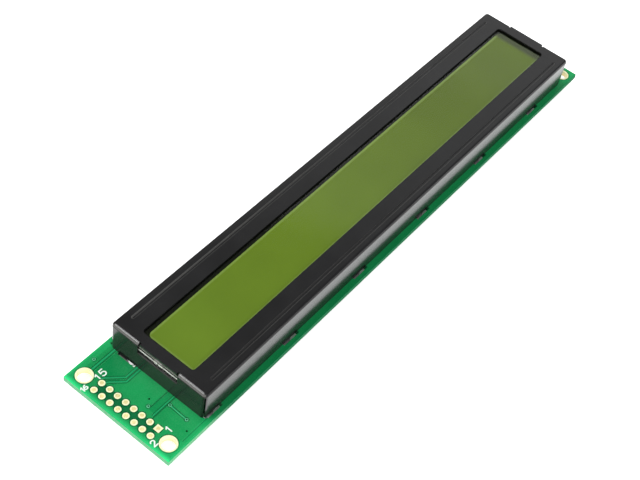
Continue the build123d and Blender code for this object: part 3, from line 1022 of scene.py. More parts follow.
@dataclass
class CircuitBoard:
    """The green board: mask, copper relief, vias, plated holes and the pin numbers."""

    shop: Workshop
    bottom: float = 2.0
    top: float = 3.6
    half_length: float = 91.0
    half_width: float = 16.5
    hole_x: float = 87.5
    hole_y: float = 13.25
    pitch: float = 2.54
    pin_one: int = 8
    pin_radii: Point2 = (0.5, 0.85)
    mount_radii: Point2 = (1.75, 2.2)
    barrel_wall: float = 0.17
    proud: float = 0.06
    copper_height: float = 0.035
    setback: float = 0.35
    cut_depth: float = 0.3
    moat: float = 0.27
    moat_height: float = 0.01
    # Inner and outer radius of the bare rings round pads, mounting pads and vias.
    pin_moat: Point2 = (0.84, 1.16)
    mount_moat: Point2 = (2.18, 2.5)
    via_moat: Point2 = (0.3, 0.66)
    pad_keep_out: float = 1.0
    rear_track: float = 0.25
    pen: float = 0.165
    ink_height: float = 0.015

    def pins(self) -> list[Point2]:
        """Centres of the sixteen connector holes, the first pin's at index pin_one."""
        columns, rows = (-0.5, 0.5), range(8)
        return [(-self.hole_x + self.pitch * c, self.pitch * (r - 3.5)) for c in columns for r in rows]

    def mounts(self) -> list[Point2]:
        """Centres of the four mounting holes."""
        return list(product((-self.hole_x, self.hole_x), (-self.hole_y, self.hole_y)))

    def barrel(self, hole: float, pad: float) -> list[Point2]:
        """Profile of a plated hole with a ring pad on each face.

        Args:
            hole: Radius of the finished hole.
            pad: Radius of the pads.

        Returns:
            The closed profile.
        """
        ease, wall = 0.4 * self.proud, hole + self.barrel_wall
        low, high = self.bottom - self.proud, self.top + self.proud
        return [
            (hole, low + ease), (hole + ease, low), (pad - ease, low), (pad, low + ease), (pad, self.bottom),
            (wall, self.bottom), (wall, self.top), (pad, self.top), (pad, high - ease),
            (pad - ease, high), (hole + ease, high), (hole, high - ease),
        ]

    def build(self) -> None:
        """Builds and dresses the whole board."""
        shop, copper, gold = self.shop, SolderMask(Coat.COPPER).make(), Plating().make()
        shop.wear("pcb", SolderMask(Coat.BARE))
        pads = [(x, y, 0.0) for i, (x, y) in enumerate(self.pins()) if i != self.pin_one]
        rings = shop.scatter("header_barrels", lathe(self.barrel(*self.pin_radii), 40), pads, gold)
        shop.keep(rings, Slot.GOLD, "header_pads")
        holes = [(x, y, 0.0) for x, y in self.mounts()]
        mounts = shop.scatter("mounting_rings", lathe(self.barrel(*self.mount_radii), 72), holes, gold)
        shop.keep(mounts, Slot.GOLD, "mounting_barrels")
        shop.wear("pin_one_pad", gold)
        self.pour("front_copper", self.top, copper, self.cuts(FRONT_GAPS, self.lines()))
        self.pour("rear_copper", self.bottom - self.copper_height, copper, self.cuts(REAR_GAPS, []))
        self.moats()
        self.tracks(SolderMask(Coat.TRACK).make())
        self.numbers()

    def lines(self) -> list[Line]:
        """Paths and half widths of the bare lines in the front copper."""
        beside = [(path, width / 2 + self.moat) for path, width in FRONT_TRACKS]
        return beside + [(path, width / 2) for path, width in GAP_LINES]

    def cuts(self, gaps: Sequence[Patch], lines: Sequence[Line]) -> list[Sequence[Point2]]:
        """Outlines of what is cut out of a copper plane.

        Args:
            gaps: Bare patches: their x range and their y range.
            lines: Paths and half widths of bare lines.

        Returns:
            The outlines, anticlockwise.
        """
        overrun = 0.1
        discs = [(x, y, self.pin_moat[1], 20) for x, y in self.pins()]
        discs += [(x, y, self.mount_moat[1], 36) for x, y in self.mounts()]
        discs += [(x, y, radius, 20) for x, y, radius in VIAS]
        cut = [[polar(x, y, r, 2 * math.pi * i / sides) for i in range(sides)] for x, y, r, sides in discs]
        cut += [rectangle(*gap) for gap in (*gaps, *SLOT_GAPS)]
        for path, half in lines:
            for (ax, ay), (bx, by) in zip(path, path[1:]):
                run = Vector((bx - ax, by - ay)).normalized()
                side = Vector((-run.y, run.x)) * half
                a, b = Vector((ax, ay)) - run * overrun, Vector((bx, by)) + run * overrun
                cut.append([a - side, b - side, b + side, a + side])
        return cut

    def pour(self, name: str, z: float, copper: Material, cut: Iterable[Sequence[Point2]]) -> None:
        """Lays a copper plane with its gaps under the mask.

        Args:
            name: Name of the piece.
            z: Height of its underside.
            copper: Material of mask over copper.
            cut: Outlines of its gaps, anticlockwise.
        """
        x, y, deep = self.half_length - self.setback, self.half_width - self.setback, self.cut_depth
        plate = new_object(name, box_mesh((-x, -y, z), (x, y, z + self.copper_height)), copper)
        cutter = bmesh.new()
        for outline in cut:
            low, high = (
                [cutter.verts.new((p[0] * MM, p[1] * MM, level * MM)) for p in outline]
                for level in (z - deep, z + deep)
            )
            cutter.faces.new(high)
            cutter.faces.new(low[::-1])
            for i, j in around(len(outline)):
                cutter.faces.new((low[i], low[j], high[j], high[i]))
        bmesh.ops.recalc_face_normals(cutter, faces=cutter.faces)
        mesh = bpy.data.meshes.new("cutter")
        cutter.to_mesh(mesh)
        cutter.free()
        tool = new_object("cutter", mesh)
        boolean = plate.modifiers.new("cut", "BOOLEAN")
        boolean.operation = "DIFFERENCE"
        boolean.object = tool
        boolean.solver = "EXACT"
        boolean.use_self = True
        baked(plate)
        bpy.data.objects.remove(tool)
        self.shop.keep(plate, Slot.MASK)

    def moats(self) -> None:
        """Darkens the narrow gaps where the mask lies over bare laminate, with painted shade for these
        recessed lines.
        """
        shop, dark, rise = self.shop, SolderMask(Coat.GAP).make(), self.moat_height
        for name, radii, sides, points in (
            ("pad_moats", self.pin_moat, 32, self.pins()),
            ("mount_moats", self.mount_moat, 64, self.mounts()),
            ("via_moats", self.via_moat, 24, [(x, y) for x, y, _ in VIAS[:LARGE_VIAS]]),
        ):
            ring = lathe(rectangle(*radii, 0.0, rise), sides)
            shop.keep(shop.scatter(name, ring, [(x, y, self.top) for x, y in points], dark), Slot.MASK)
        strokes = [capsule(a, b, half) for path, half in self.lines() for a, b in zip(path, path[1:])]
        pads = [arc(x, y, self.pad_keep_out, 0.0, 324.0) for x, y in self.pins()]
        flat = filled(
            [*strokes, *pads],
            lambda p: any(inside(p, line) for line in strokes) and not any(inside(p, pad) for pad in pads),
        )
        lines = new_object("track_moats", plate_mesh(flat, self.top + 0.001, self.top + rise), dark)
        shop.keep(lines, Slot.MASK)

    def tracks(self, copper: Material) -> None:
        """Lays the copper tracks and the vias.

        Args:
            copper: Material of mask over copper.
        """
        shop, high, middle = self.shop, self.copper_height, self.copper_height / 2
        runs = [
            (f"front_tracks_{number}", [p for p, w in FRONT_TRACKS if w == width], self.top + middle, width)
            for number, width in enumerate(sorted({w for _, w in FRONT_TRACKS}), 1)
        ]
        runs.append(("rear_tracks", rear_paths(), self.bottom - middle, self.rear_track))
        for name, paths, z, width in runs:
            sizes = {"Width": width * MM, "Height": high * MM}
            piece = shop.ribbons.run(name, paths_mesh(paths, z), Material=copper, **sizes)
            shop.keep(piece, Slot.MASK)
        rim, spots = high + 0.012, [(x, y, self.top) for x, y, _ in VIAS]
        ring = [(0.16, 0.002), (0.2, rim), (0.38, rim), (0.43, 0.02), (0.45, 0.001)]
        tinned = Plain("via_ring", (0.10, 0.50, 0.25), (0.08, 0.44, 0.21), (0.3, 0.45), specular=0.2)
        vias = shop.scatter("via_rings", lathe(ring, 24), spots[:LARGE_VIAS], tinned.make())
        shop.keep(vias, Slot.MASK)
        # Near-black discs over the vias: painted shade standing in for the dark inside of each via hole.
        cap = [(0.0, rim + 0.002), (0.14, rim + 0.004), (0.2, rim + 0.008), (0.22, 0.001), (0.0, 0.001)]
        pit = Plain("via_pit", (0.0005, 0.008, 0.003), (0.0005, 0.005, 0.002), (0.5, 0.7), specular=0.03)
        shop.keep(shop.scatter("via_pits", lathe(cap, 20), spots, pit.make()), Slot.MASK)

    def numbers(self) -> None:
        """Prints the four pin numbers with a round pen."""
        ink = Plain(
            "white_ink", (0.80, 0.88, 0.82), (0.74, 0.83, 0.76), (0.5, 0.65), patch_mm=2.0, grain_mm=0.15,
            relief_mm=0.004,
        )
        strokes = []
        for digit, x, y, high in PIN_DIGITS:
            path = [(x + high * u, y + (high - 2 * self.pen) * v) for u, v in DIGIT_PATHS[digit]]
            strokes += [capsule(a, b, self.pen) for a, b in zip(path, path[1:])]
        flat = filled(strokes, lambda p: any(inside(p, stroke) for stroke in strokes))
        base = self.top + self.copper_height
        piece = new_object("pin_numbers", plate_mesh(flat, base, base + self.ink_height), ink.make())
        self.shop.keep(piece, Slot.INK)


# Pen strokes of the digits, one unit high round their middle.
DIGIT_PATHS: dict[str, tuple[Point2, ...]] = {
    "1": ((-0.2, 0.28), (0.04, 0.5), (0.04, -0.5)),
    "2": (*arc(0.0, 0.23, 0.27, 165.0, -38.0), (-0.28, -0.5), (0.30, -0.5)),
    "5": ((0.26, 0.5), (-0.19, 0.5), (-0.24, 0.04), *arc(0.0, -0.18, 0.31, 125.0, -145.0)),
    "6": ((0.2, 0.47), (0.02, 0.46), (-0.19, 0.26), *arc(0.0, -0.2, 0.29, 180.0, -180.0)),
}
# Digit, middle and height.
PIN_DIGITS: tuple[tuple[str, float, float, float], ...] = (
    ("1", -90.5, 10.75, 1.5), ("6", -89.65, 10.75, 1.5), ("1", -85.7, 10.8, 1.75), ("5", -84.1, 10.75, 2.1),
    ("2", -89.7, -10.75, 1.9), ("1", -84.75, -10.75, 1.95),
)
# Centre and radius of the copper's opening; the large vias come first.
LARGE_VIAS = 4
VIAS: tuple[Point3, ...] = (
    (-83.5, -3.2, 0.68), (-79.85, -6.6, 0.68), (-80.1, -12.0, 0.68), (-82.8, 14.85, 0.68),
    (-81.9, -2.0, 0.26), (-82.3, -14.05, 0.26),
)
# Paths and widths.
GAP_LINES: tuple[Line, ...] = (
    (((-83.1, -3.75), (-76.6, -3.75)), 0.34),
    (((-85.1, -6.15), (-76.6, -6.15)), 0.34),
    (((-84.9, -15.15), (-76.6, -15.15)), 0.34),
    (((-88.7, 8.8), (-88.7, -8.8)), 0.9),
    (((-86.3, 8.8), (-86.3, -8.8)), 0.9),
    (((-87.5, 8.8), (-87.5, -8.8)), 1.6),
)
FRONT_TRACKS: tuple[Line, ...] = (
    (((-85.3, 13.2), (-76.5, 13.2)), 0.5),
    (((-85.6, 9.9), (-84.9, 9.5), (-81.3, 5.95), (-76.5, 5.95)), 0.4),
    (((-85.6, 8.3), (-85.0, 7.95), (-82.1, 5.05), (-76.5, 5.05)), 0.4),
    (((-84.6, -5.7), (-76.5, -5.7)), 0.3),
    (((-79.85, -6.6), (-79.95, -8.0), (-80.1, -12.0)), 0.4),
)
# Bare patches: x range and y range.
FRONT_GAPS: tuple[Patch, ...] = (
    (-85.0, -76.6, 6.5, 12.5), (-84.0, -76.6, -5.5, -3.75), (-84.5, -76.8, -15.3, -15.05),
)
REAR_GAPS: tuple[Patch, ...] = ((-80.0, 88.0, -12.0, 12.0),)
SIDE_SLOTS = (-74.2, -45.9, -17.6, 10.7, 39.0, 67.3)
SLOT_GAPS: tuple[Patch, ...] = (
    *((x - 2.85, x + 2.85, y - 0.8, y + 0.8) for x in SIDE_SLOTS for y in (-14.55, 14.55)),
    (-78.05, -76.45, 6.55, 12.25), (82.85, 84.45, -12.25, -6.55),
)
CONTROLLER_X = -48.0
DRIVER_X = (-17.0, 9.67, 36.33, 63.0)


def rear_paths() -> list[list[Point2]]:
    """Corner points of the tracks on the rear, fanned out from every dome.

    Returns:
        The paths in millimetres.
    """
    paths: list[list[Point2]] = []
    for x, side, i in product((CONTROLLER_X, *DRIVER_X), (-1, 1), range(-9, 10)):
        bend = (x + 0.9 * i, side * (9.0 + 0.04 * abs(i)))
        paths.append([(x + 0.55 * i, side * (7.0 - 0.03 * i * i)), bend, (bend[0], side * 11.6)])
    for row in range(8):
        y = 2.54 * (row - 3.5)
        paths.append([(-85.0, y), (-78.0, y), (-76.0 + 0.2 * row, 0.62 * y), (-57.5, 0.62 * y)])
    return paths


@dataclass
class Bezel:
    """The folded steel bezel: one sheet with smooth bends, open seams, windows, beads and twisted tabs."""

    shop: Workshop
    near: float = -77.5
    far: float = 83.9
    half_width: float = 14.8
    foot: float = 3.6
    height: float = 9.35
    sheet: float = 0.5
    bend: float = 0.9
    bend_steps: int = 6
    corner: float = 1.1
    seam: float = 0.4
    window: Patch = (-74.2, 80.2, -7.95, 7.95)
    window_corner: float = 1.0
    end_half: float = 6.2
    tongue_half: float = 5.7
    tongue_back: float = 0.2
    sill: float = 5.7
    bead_y: Point2 = (-12.4, 12.2)
    bead_half: float = 0.42
    bead_ends: Point2 = (-73.1, 79.4)
    tab_half: float = 1.45
    tab_shift: float = 1.3
    tab_twist: float = 32.0
    tab_steps: int = 6
    board: float = 1.6
    reach: float = 2.0
    end_slot_y: float = 9.4
    cut_edge: float = 0.05
    cut_angle: float = 65.0
    # Growth of a bead's outline and the height of each of its rings, from the flat sheet down.
    bead_profile: tuple[Point2, ...] = (
        (0.10, 0.0), (0.02, -0.025), (-0.03, -0.08), (-0.13, -0.26), (-0.18, -0.32), (-0.26, -0.35),
    )

    def side_marks(self, low: float, high: float, tabs: Sequence[float], extra: Sequence = ()) -> list[float]:
        """Lists where a side of the outline is divided.

        Args:
            low: Start of its straight run.
            high: End of its straight run.
            tabs: Middles of its tabs.
            extra: Other marks.

        Returns:
            The marks in rising order.
        """
        marks = {low, high, *extra}
        for middle in tabs:
            marks |= {max(low, middle - self.tab_half), middle, min(high, middle + self.tab_half)}
        return sorted(marks)

    def tab_middles(self) -> tuple[list[float], float, float]:
        """Middles of the tabs: along X on the long sides, and Y on the near and far ends."""
        end = self.end_slot_y + self.tab_shift
        return [x - self.tab_shift for x in SIDE_SLOTS], end, -end

    def outline(self) -> list[tuple[Vector, Vector]]:
        """Points and outward normals round the plan, anticlockwise from the near front corner."""
        tabs, near_tab, far_tab = self.tab_middles()
        w, r = self.half_width, self.corner
        x0, x1, y0, y1 = self.near + r, self.far - r, -w + r, w - r
        ends = [-self.end_half, -self.tongue_half, self.tongue_half, self.end_half]
        along = self.side_marks(x0, x1, tabs)
        across_far = self.side_marks(y0, y1, [far_tab], ends)
        across_near = self.side_marks(y0, y1, [near_tab], ends)
        half_seam = math.degrees(self.seam / 2 / r)
        turn = [9.0, 18.0, 27.0, 45.0 - half_seam, 45.0 + half_seam, 63.0, 72.0, 81.0]
        points: list[tuple[Vector, Vector]] = []
        for side, normal, centre, start in (
            ([(t, -w) for t in along], (0, -1), (x1, y0), -90.0),
            ([(self.far, t) for t in across_far], (1, 0), (x1, y1), 0.0),
            ([(t, w) for t in along[::-1]], (0, 1), (x0, y1), 90.0),
            ([(self.near, t) for t in across_near[::-1]], (-1, 0), (x0, y0), 180.0),
        ):
            points += [(Vector(spot), Vector(normal)) for spot in side]
            for degrees in turn:
                out = Vector(polar(0.0, 0.0, 1.0, math.radians(start + degrees)))
                points.append((Vector(centre) + out * r, out))
        return points

    def kind(self, middle: Vector, normal: Vector) -> Stretch:
        """Tells what a stretch of the outline is.

        Args:
            middle: Its middle.
            normal: Its outward normal.

        Returns:
            The kind of stretch.
        """
        tabs, near_tab, far_tab = self.tab_middles()
        if abs(abs(normal.x) - abs(normal.y)) < 0.08:
            return Stretch.SEAM
        if abs(normal.x) > SIDEWAYS and abs(middle.y) < self.end_half:
            return Stretch.OPENING
        if abs(normal.y) > SIDEWAYS and any(abs(middle.x - t) < self.tab_half for t in tabs):
            return Stretch.TAB
        end_tab = near_tab if normal.x < 0 else far_tab
        if abs(normal.x) > SIDEWAYS and abs(middle.y - end_tab) < self.tab_half:
            return Stretch.TAB
        return Stretch.WALL

    def rings(self) -> list[Point2]:
        """Inset and height of each ring from the foot to the flat top."""
        straight = self.height - self.bend
        turns = [math.pi / 2 * k / self.bend_steps for k in range(1, self.bend_steps + 1)]
        bend = [(self.bend * (1 - math.cos(a)), straight + self.bend * math.sin(a)) for a in turns]
        return [(0.0, 0.0), (0.0, self.sill), (0.0, straight), *bend]

    def skin(self) -> Mesh:
        """Builds the outer skin of the sheet."""
        outline, rings = self.outline(), self.rings()
        count = len(outline)
        vertices: list[Point3] = [(*(p - n * inset), self.foot + z) for inset, z in rings for p, n in outline]
        faces: list[tuple[int, ...]] = []
        for i, j in around(count):
            (p, n), (q, m) = outline[i], outline[j]
            kind = self.kind((p + q) / 2, (n + m).normalized())
            for k in range(len(rings) - 1):
                if (kind is Stretch.SEAM and k < 2) or (kind is Stretch.OPENING and k > 0):
                    continue
                faces.append((k * count + i, k * count + j, (k + 1) * count + j, (k + 1) * count + i))
            if kind is Stretch.TAB:
                self.tab(vertices, faces, (p, q), n, (i, j))
        self.top(vertices, faces, outline)
        mesh = mesh_from(vertices, faces)
        tidy_mesh(mesh, flatten=0.5)
        return mesh

    def tab(self, vertices: list, faces: list, ends: tuple, n: Vector, last: tuple[int, int]) -> None:
        """Adds half a tab's width: straight through the board, then twisted about the tab's middle.

        Args:
            vertices: The skin's vertices.
            faces: The skin's faces.
            ends: Both points of the stretch.
            n: Outward normal.
            last: Indices of those points at the foot.
        """
        tabs, near_tab, far_tab = self.tab_middles()
        p, q = ends
        if abs(n.y) > SIDEWAYS:
            middle = Vector((min(tabs, key=lambda t: abs(t - (p.x + q.x) / 2)), p.y))
        else:
            middle = Vector((p.x, near_tab if n.x < 0 else far_tab))
        axis = middle - n * self.sheet / 2
        for k in range(self.tab_steps + 1):
            drop = self.board + self.reach * k / self.tab_steps
            angle = math.radians(self.tab_twist * k / self.tab_steps)
            first = len(vertices)
            vertices += [(*(axis + turned(point - axis, angle)), self.foot - drop) for point in ends]
            faces.append((first, first + 1, last[1], last[0]))
            last = (first, first + 1)

    def top(self, vertices: list, faces: list, outline: list[tuple[Vector, Vector]]) -> None:
        """Adds the flat top with its window, the tongues over the end openings and the pressed beads.

        Args:
            vertices: The skin's vertices.
            faces: The skin's faces.
            outline: The plan's points and normals.
        """
        edge: list[Point2] = []
        for p, n in outline:
            spots = [tuple(p - n * self.bend)]
            if abs(n.x) > SIDEWAYS and abs(abs(p.y) - self.tongue_half) < 1e-6:
                spots.append((p.x - n.x * self.tongue_back, p.y))
                if (p.y > 0) != (n.x < 0):
                    spots.reverse()
            edge += spots
        window = rounded(rectangle(*self.window), self.window_corner)
        beads = [self.bead_rings(middle) for middle in self.bead_y]
        flat, triangles = pierced(edge, [window, *(rings[0][1] for rings in beads)])
        first, level = len(vertices), self.foot + self.height
        vertices += [(x, y, level) for x, y in flat]
        faces += [tuple(first + i for i in t) for t in triangles]
        for rings in beads:
            last: list[int] = []
            for z, loop in rings:
                here = list(range(len(vertices), len(vertices) + len(loop)))
                vertices += [(x, y, level + z) for x, y in loop]
                faces += [(last[a], last[b], here[b], here[a]) for a, b in around(len(last))]
                last = here
            faces += [(last[a], last[a + 1], last[-2 - a], last[-1 - a]) for a in range(len(last) // 2 - 1)]

    def bead_rings(self, middle: float) -> list[tuple[float, list[Point2]]]:
        """Heights and outlines of the rings that shape one pressed bead.

        Args:
            middle: Where its middle lies across the bezel.

        Returns:
            Height below the top and outline of each ring, outermost first.
        """
        near, far = self.bead_ends[0] + self.bead_half, self.bead_ends[1] - self.bead_half
        ends = ((far, -90.0), (near, 90.0))
        turns = [(x, math.radians(start + 15.0 * k)) for x, start in ends for k in range(13)]
        return [
            (z, [polar(x, middle, self.bead_half + grow, angle) for x, angle in turns])
            for grow, z in self.bead_profile
        ]

    def build(self) -> None:
        """Folds the sheet, gives it its thickness and breaks its cut edges."""
        shell = new_object("bezel_shell", self.skin(), BlackPaint().make())
        wall = shell.modifiers.new("sheet", "SOLIDIFY")
        wall.thickness = self.sheet * MM
        wall.offset = -1.0
        wall.use_even_offset = True
        baked(shell)
        for vertex in shell.data.vertices:
            vertex.co.z = max(vertex.co.z, 0.0)
        edge_break(shell, self.cut_edge, self.cut_angle)
        self.shop.keep(shell, Slot.PAINT, "bezel")


@dataclass
class DisplayCell:
    """Two glass plates with the green layer, its printed frame, the films and the filling port's plug."""

    shop: Workshop
    gap: float = 0.02
    glass_edge: float = 0.08
    film_edge: float = 0.02
    layer: float = 0.01
    layer_inset: float = 0.2
    film_seat: float = 12.062
    frame_x: Point2 = (-73.65, 79.6)
    frame_low: float = -8.45
    frame_high: Point2 = (6.72, 7.2)
    frame_radius: float = 1.35
    frame_inset: float = 0.1
    frame_lift: Point2 = (1.4, 2.4)

    def plate(self, node: str, name: str, edge: float, face: object, rim: object, slot: Slot) -> None:
        """Makes a plate a hair smaller than its solid, with its own finish on the cut edges.

        Args:
            node: The CAD node that it stands for.
            name: Name of the piece.
            edge: Width of the broken edge.
            face: Finish of the faces.
            rim: Finish of the cut edges.
            slot: Its material slot.
        """
        low, high = (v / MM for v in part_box(node))
        grow = Vector((0, 0, self.gap))
        piece = new_object(name, box_mesh(low + grow, high - grow), face.make())
        edge_break(piece, edge, 60.0, 1)
        piece.data.materials.append(rim.make())
        for polygon in piece.data.polygons:
            polygon.material_index = 1 if abs(polygon.normal.z) < 0.9 else 0
        self.shop.keep(piece, slot, node)

    def layers(self) -> None:
        """Lays the green layer on the front plate, and the printed black frame on the layer."""
        low, high = (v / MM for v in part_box("front_polarizer"))
        z, inset = self.film_seat, Vector((self.layer_inset, self.layer_inset, 0.0))
        layer = box_mesh((*(low + inset).xy, z), (*(high - inset).xy, z + self.layer))
        self.shop.keep(new_object("green_layer", layer, GreenFilm().make()), Slot.FILM)
        (x0, x1), (high_near, high_far) = self.frame_x, self.frame_high
        opening = rounded(
            [(x0, self.frame_low), (x1, self.frame_low), (x1, high_far), (x0, high_near)], self.frame_radius
        )
        edge = self.frame_inset
        outside = rectangle(low.x + edge, high.x - edge, low.y + edge, high.y - edge)
        shape = pierced(outside, [opening])
        ink = Plain(
            "frame_ink", (0.004, 0.004, 0.004), (0.006, 0.006, 0.006), patch_mm=4.0, grain_mm=0.2,
            relief_mm=0.002, specular=0.05,
        )
        bottom, top = (z + lift * self.layer for lift in self.frame_lift)
        self.shop.keep(new_object("printed_frame", plate_mesh(shape, bottom, top), ink.make()), Slot.RESIN)

    def build(self) -> None:
        """Builds the plates, films, layers and plug."""
        clear, wear = Pane("sheet_glass"), self.shop.wear
        # The edge bands are painted light, with painted shade beside them.
        front = GroundEdge("front_edge", (0.40, 0.41, 0.37), (11.12, 11.5))
        rear = GroundEdge("rear_edge", (1.0, 1.0, 0.95), (9.8, 10.52))
        self.plate("front_glass", "front_pane", self.glass_edge, clear, front, Slot.GLASS)
        self.plate("rear_glass", "rear_pane", self.glass_edge, clear, rear, Slot.GLASS)
        film = FilmFace()
        self.plate("front_polarizer", "front_film", self.film_edge, film, film, Slot.POLARIZER)
        self.layers()
        wear("rear_polarizer", GreenFilm())
        # The seal's white band is painted light, continuing the line of the glass edges.
        wear("end_seal", GroundEdge("seal_resin", (1.0, 1.0, 0.93), (10.4, 11.12), 0.14))
        rubber = LayeredRubber().make()
        wear("front_contact_strip", rubber)
        wear("rear_contact_strip", rubber)


@dataclass
class Backlight:
    """The tray, diffuser, lamp board and lamps under the cell."""

    shop: Workshop

    def build(self) -> None:
        """Dresses the backlight's nodes."""
        for node, finish in {
            "backlight_housing": Plain("white_plastic", (0.82, 0.82, 0.79), (0.74, 0.74, 0.70), (0.45, 0.6)),
            "backlight_diffuser": Plain(
                "diffuser_plastic", (0.84, 0.87, 0.78), (0.80, 0.84, 0.72), (0.5, 0.7)
            ),
            "lamp_board": Plain("lamp_board", (0.85, 0.86, 0.83), (0.78, 0.80, 0.76), (0.3, 0.45)),
            "backlight_lamps": Plain(
                "lamp_resin", (0.78, 0.78, 0.35), (0.70, 0.72, 0.28), (0.1, 0.2), coat=0.5
            ),
            "backlight_terminals": Plain(
                "tinned_metal", (0.72, 0.72, 0.70), (0.60, 0.60, 0.59), (0.18, 0.32), 1.0,
                patch_mm=0.6, grain_mm=0.1, relief_mm=0.004,
            ),
            "terminal_solder": Plain(
                "solder", (0.66, 0.67, 0.69), (0.50, 0.51, 0.53), (0.22, 0.4), 1.0,
                patch_mm=0.7, grain_mm=0.12,
            ),
        }.items():
            self.shop.wear(node, finish)


@dataclass
class RearParts:
    """Resin domes and chips on the rear of the board."""

    shop: Workshop
    bottom: float = 2.0
    height: float = 1.45
    steps: int = 14
    controller_foot: float = 8.6
    driver_foot: float = 7.2

    def dome(self, radius: float) -> list[Point2]:
        """Profile of a poured resin dome that hangs from the rear.

        Args:
            radius: Radius of its foot.

        Returns:
            The profile.
        """
        turns = [i / self.steps * math.pi / 2 for i in range(1, self.steps)]
        curve = [(radius * math.sin(t) ** 0.6, -self.height * math.cos(t) ** 0.75) for t in turns]
        return [(0.0, -self.height), *curve, (radius, 0.0), (0.0, 0.0)]

    def build(self) -> None:
        """Builds the domes and dresses the chips."""
        shop, z = self.shop, self.bottom
        resin = Plain(
            "black_resin", (0.012, 0.012, 0.013), (0.020, 0.020, 0.021), (0.22, 0.36), coat=0.3,
            patch_mm=2.0, grain_mm=0.4, relief_mm=0.03,
        ).make()
        large, small = lathe(self.dome(self.controller_foot), 72), lathe(self.dome(self.driver_foot), 64)
        controller = shop.scatter("controller_resin", large, [(CONTROLLER_X, 0, z)], resin)
        shop.keep(controller, Slot.RESIN, "controller_dome")
        drivers = shop.scatter("driver_resin", small, [(x, 0, z) for x in DRIVER_X], resin)
        shop.keep(drivers, Slot.RESIN, "driver_domes")
        shop.wear("chip_resistors", Plain(
            "resistor_ceramic", (0.02, 0.02, 0.022), (0.035, 0.035, 0.037), (0.3, 0.45)
        ))
        shop.wear("chip_capacitors", Plain(
            "capacitor_ceramic", (0.42, 0.28, 0.16), (0.34, 0.22, 0.12), (0.4, 0.55)
        ))
        shop.wear("chip_end_caps", Plain(
            "tinned_caps", (0.74, 0.74, 0.73), (0.62, 0.62, 0.61), (0.2, 0.35), 1.0,
            patch_mm=0.8, grain_mm=0.1, relief_mm=0.006,
        ))


@dataclass(frozen=True)
class Lamp:
    """A soft box in metres that faces the object from a direction, with its width along another.

    A radiance of 1 looks white. The width lies level where no direction is given for it.
    """

    name: str
    toward: Point3
    distance: float
    size: Point2
    radiance: float
    along: Point3 | None = None

    def hang(self) -> None:
        """Adds the lamp to the scene."""
        data = bpy.data.lights.new(self.name, "AREA")
        data.shape = "RECTANGLE"
        data.size, data.size_y = self.size
        data.energy = self.radiance * data.size * data.size_y * math.pi
        direction = Vector(self.toward).normalized()
        turn = direction.to_track_quat("Z", "Y").to_matrix()
        if self.along:
            across = direction.cross(Vector(self.along)).normalized()
            turn = Matrix((across.cross(direction), across, direction)).transposed()
        item = bpy.data.objects.new(self.name, data)
        item.matrix_world = turn.to_4x4()
        item.location = direction * self.distance
        bpy.context.scene.collection.objects.link(item)


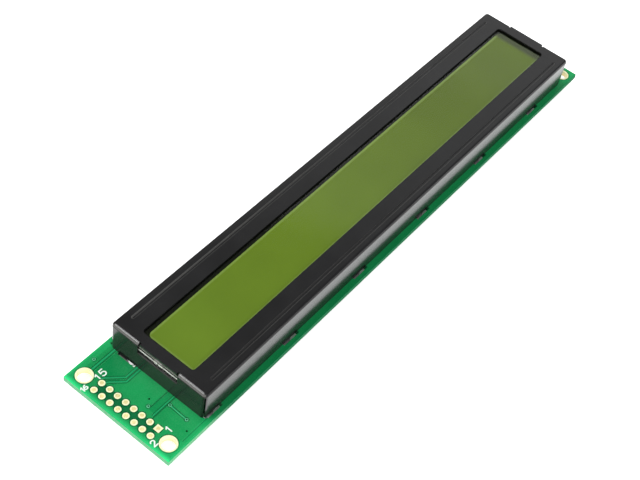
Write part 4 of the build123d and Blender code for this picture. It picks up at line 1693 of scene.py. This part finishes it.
@dataclass
class Studio:
    """Camera, lamps, world and floor."""

    focus: float = 1227.46
    picture_width: float = 640.0
    sensor_width: float = 36.0
    turn: tuple[Point3, Point3, Point3] = (
        (0.61603839, -0.77650627, 0.13241869),
        (-0.55074441, -0.54477168, -0.63237995),
        (0.56318495, 0.31664148, -0.76325676),
    )
    place: Point3 = (-196.87, -102.24, 248.05)
    world_level: float = 0.17
    floor_reach: float = 6000.0
    near_end: Point2 = (-75.0, -73.5)
    far_end: Point2 = (84.0, 86.0)
    seen_side: Point2 = (15.0, 16.0)
    mirrored_side: Point2 = (16.4, 17.4)
    seen_lift: float = 0.8
    mirrored_lift: float = 0.95
    lamps: tuple[Lamp, ...] = (
        Lamp("top_strip", (-0.2656, 0.355, 0.8965), 1.2, (1.0, 0.18), 22.0, (0.959, 0.0, 0.284)),
        Lamp("front_box", (-0.45, -0.62, 0.64), 2.0, (1.2, 1.2), 3.5),
        Lamp("side_box", (0.6, -0.77, 0.21), 1.6, (1.6, 0.45), 3.0),
        Lamp("low_box", (0.79, 0.29, 0.545), 1.6, (1.6, 0.4), 0.95),
        Lamp("middle_box", (0.664, 0.24, 0.707), 1.6, (1.6, 0.3), 0.68),
    )

    def camera(self) -> None:
        """Sets the camera at the photograph's place."""
        right, down, ahead = (Vector(row) for row in self.turn)
        matrix = Matrix((right, -down, -ahead)).transposed().to_4x4()
        matrix.translation = Vector(self.place) * MM
        data = bpy.data.cameras.new("camera")
        data.sensor_width = self.sensor_width
        data.lens = self.focus * self.sensor_width / self.picture_width
        data.clip_start, data.clip_end = 0.01, 20.0
        view = bpy.data.objects.new("camera", data)
        view.matrix_world = matrix
        bpy.context.scene.collection.objects.link(view)
        bpy.context.scene.camera = view

    def world(self) -> None:
        """Sets a plain soft sky that looks white where the camera sees it."""
        world = bpy.data.worlds.new("studio")
        bpy.context.scene.world = world
        world.use_nodes = True
        tree = world.node_tree
        tree.nodes.clear()
        path = tree.nodes.new("ShaderNodeLightPath")
        mix = tree.nodes.new("ShaderNodeMixShader")
        out = tree.nodes.new("ShaderNodeOutputWorld")
        tree.links.new(path.outputs["Is Camera Ray"], mix.inputs[0])
        for slot, level in ((1, self.world_level), (2, 1.0)):
            sky = tree.nodes.new("ShaderNodeBackground")
            feed(tree.links, sky.inputs["Color"], WHITE)
            sky.inputs["Strength"].default_value = level
            tree.links.new(sky.outputs[0], mix.inputs[slot])
        tree.links.new(mix.outputs[0], out.inputs["Surface"])

    def floor(self) -> None:
        """Lays a pale floor under the tabs that keeps a soft shadow."""
        graph, reach = Graph("pale_floor"), self.floor_reach
        path, x, across = graph.add("LightPath").outputs, graph.axis("X"), graph.magnitude(graph.axis("Y"))
        ends = graph.most(graph.fade(x, *self.near_end, FALL), graph.fade(x, *self.far_end))
        beside = graph.most(graph.fade(across, *self.seen_side), ends)
        clear_of_edge = graph.most(graph.fade(across, *self.mirrored_side), ends)
        seen = graph.times(path["Is Camera Ray"], beside, self.seen_lift)
        bounced = graph.most(path["Is Glossy Ray"], path["Is Transmission Ray"])
        farther = graph.fade(x, -70.0, 80.0, (1.0, 0.83))
        mirrored = graph.times(bounced, clear_of_edge, farther, self.mirrored_lift)
        lift = graph.add("Emission", {"Color": WHITE, "Strength": graph.plus(mirrored, seen)}).outputs[0]
        mottle = graph.tone(graph.noise(60.0, 2.0), dim(WHITE, 0.80), dim(WHITE, 0.78))
        paper = graph.add("BsdfDiffuse", {"Color": mottle}).outputs[0]
        mesh = loose_mesh([(x, y, 0) for x, y in rectangle(-reach, reach, -reach, reach)], [], [(0, 1, 2, 3)])
        new_object("floor", mesh, graph.finish(graph.add("AddShader", {0: paper, 1: lift})))

    def build(self) -> None:
        """Builds the studio."""
        self.camera()
        self.world()
        self.floor()
        for lamp in self.lamps:
            lamp.hang()
        bpy.context.scene.view_settings.view_transform = "Standard"


def main(frame: dict) -> None:
    """Builds the model in order and reports each piece.
    """
    logging.basicConfig(level=logging.INFO, format="%(name)s: %(message)s")
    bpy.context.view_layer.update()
    shop = Workshop(frame["nodes"], copies_tree(), ribbon_tree())
    for assembly in (CircuitBoard(shop), Bezel(shop), DisplayCell(shop), Backlight(shop), RearParts(shop)):
        assembly.build()
    Studio().build()
    LOG.info("%d pieces made", len(shop.made))


if __name__ == "__main__":
    main(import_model())
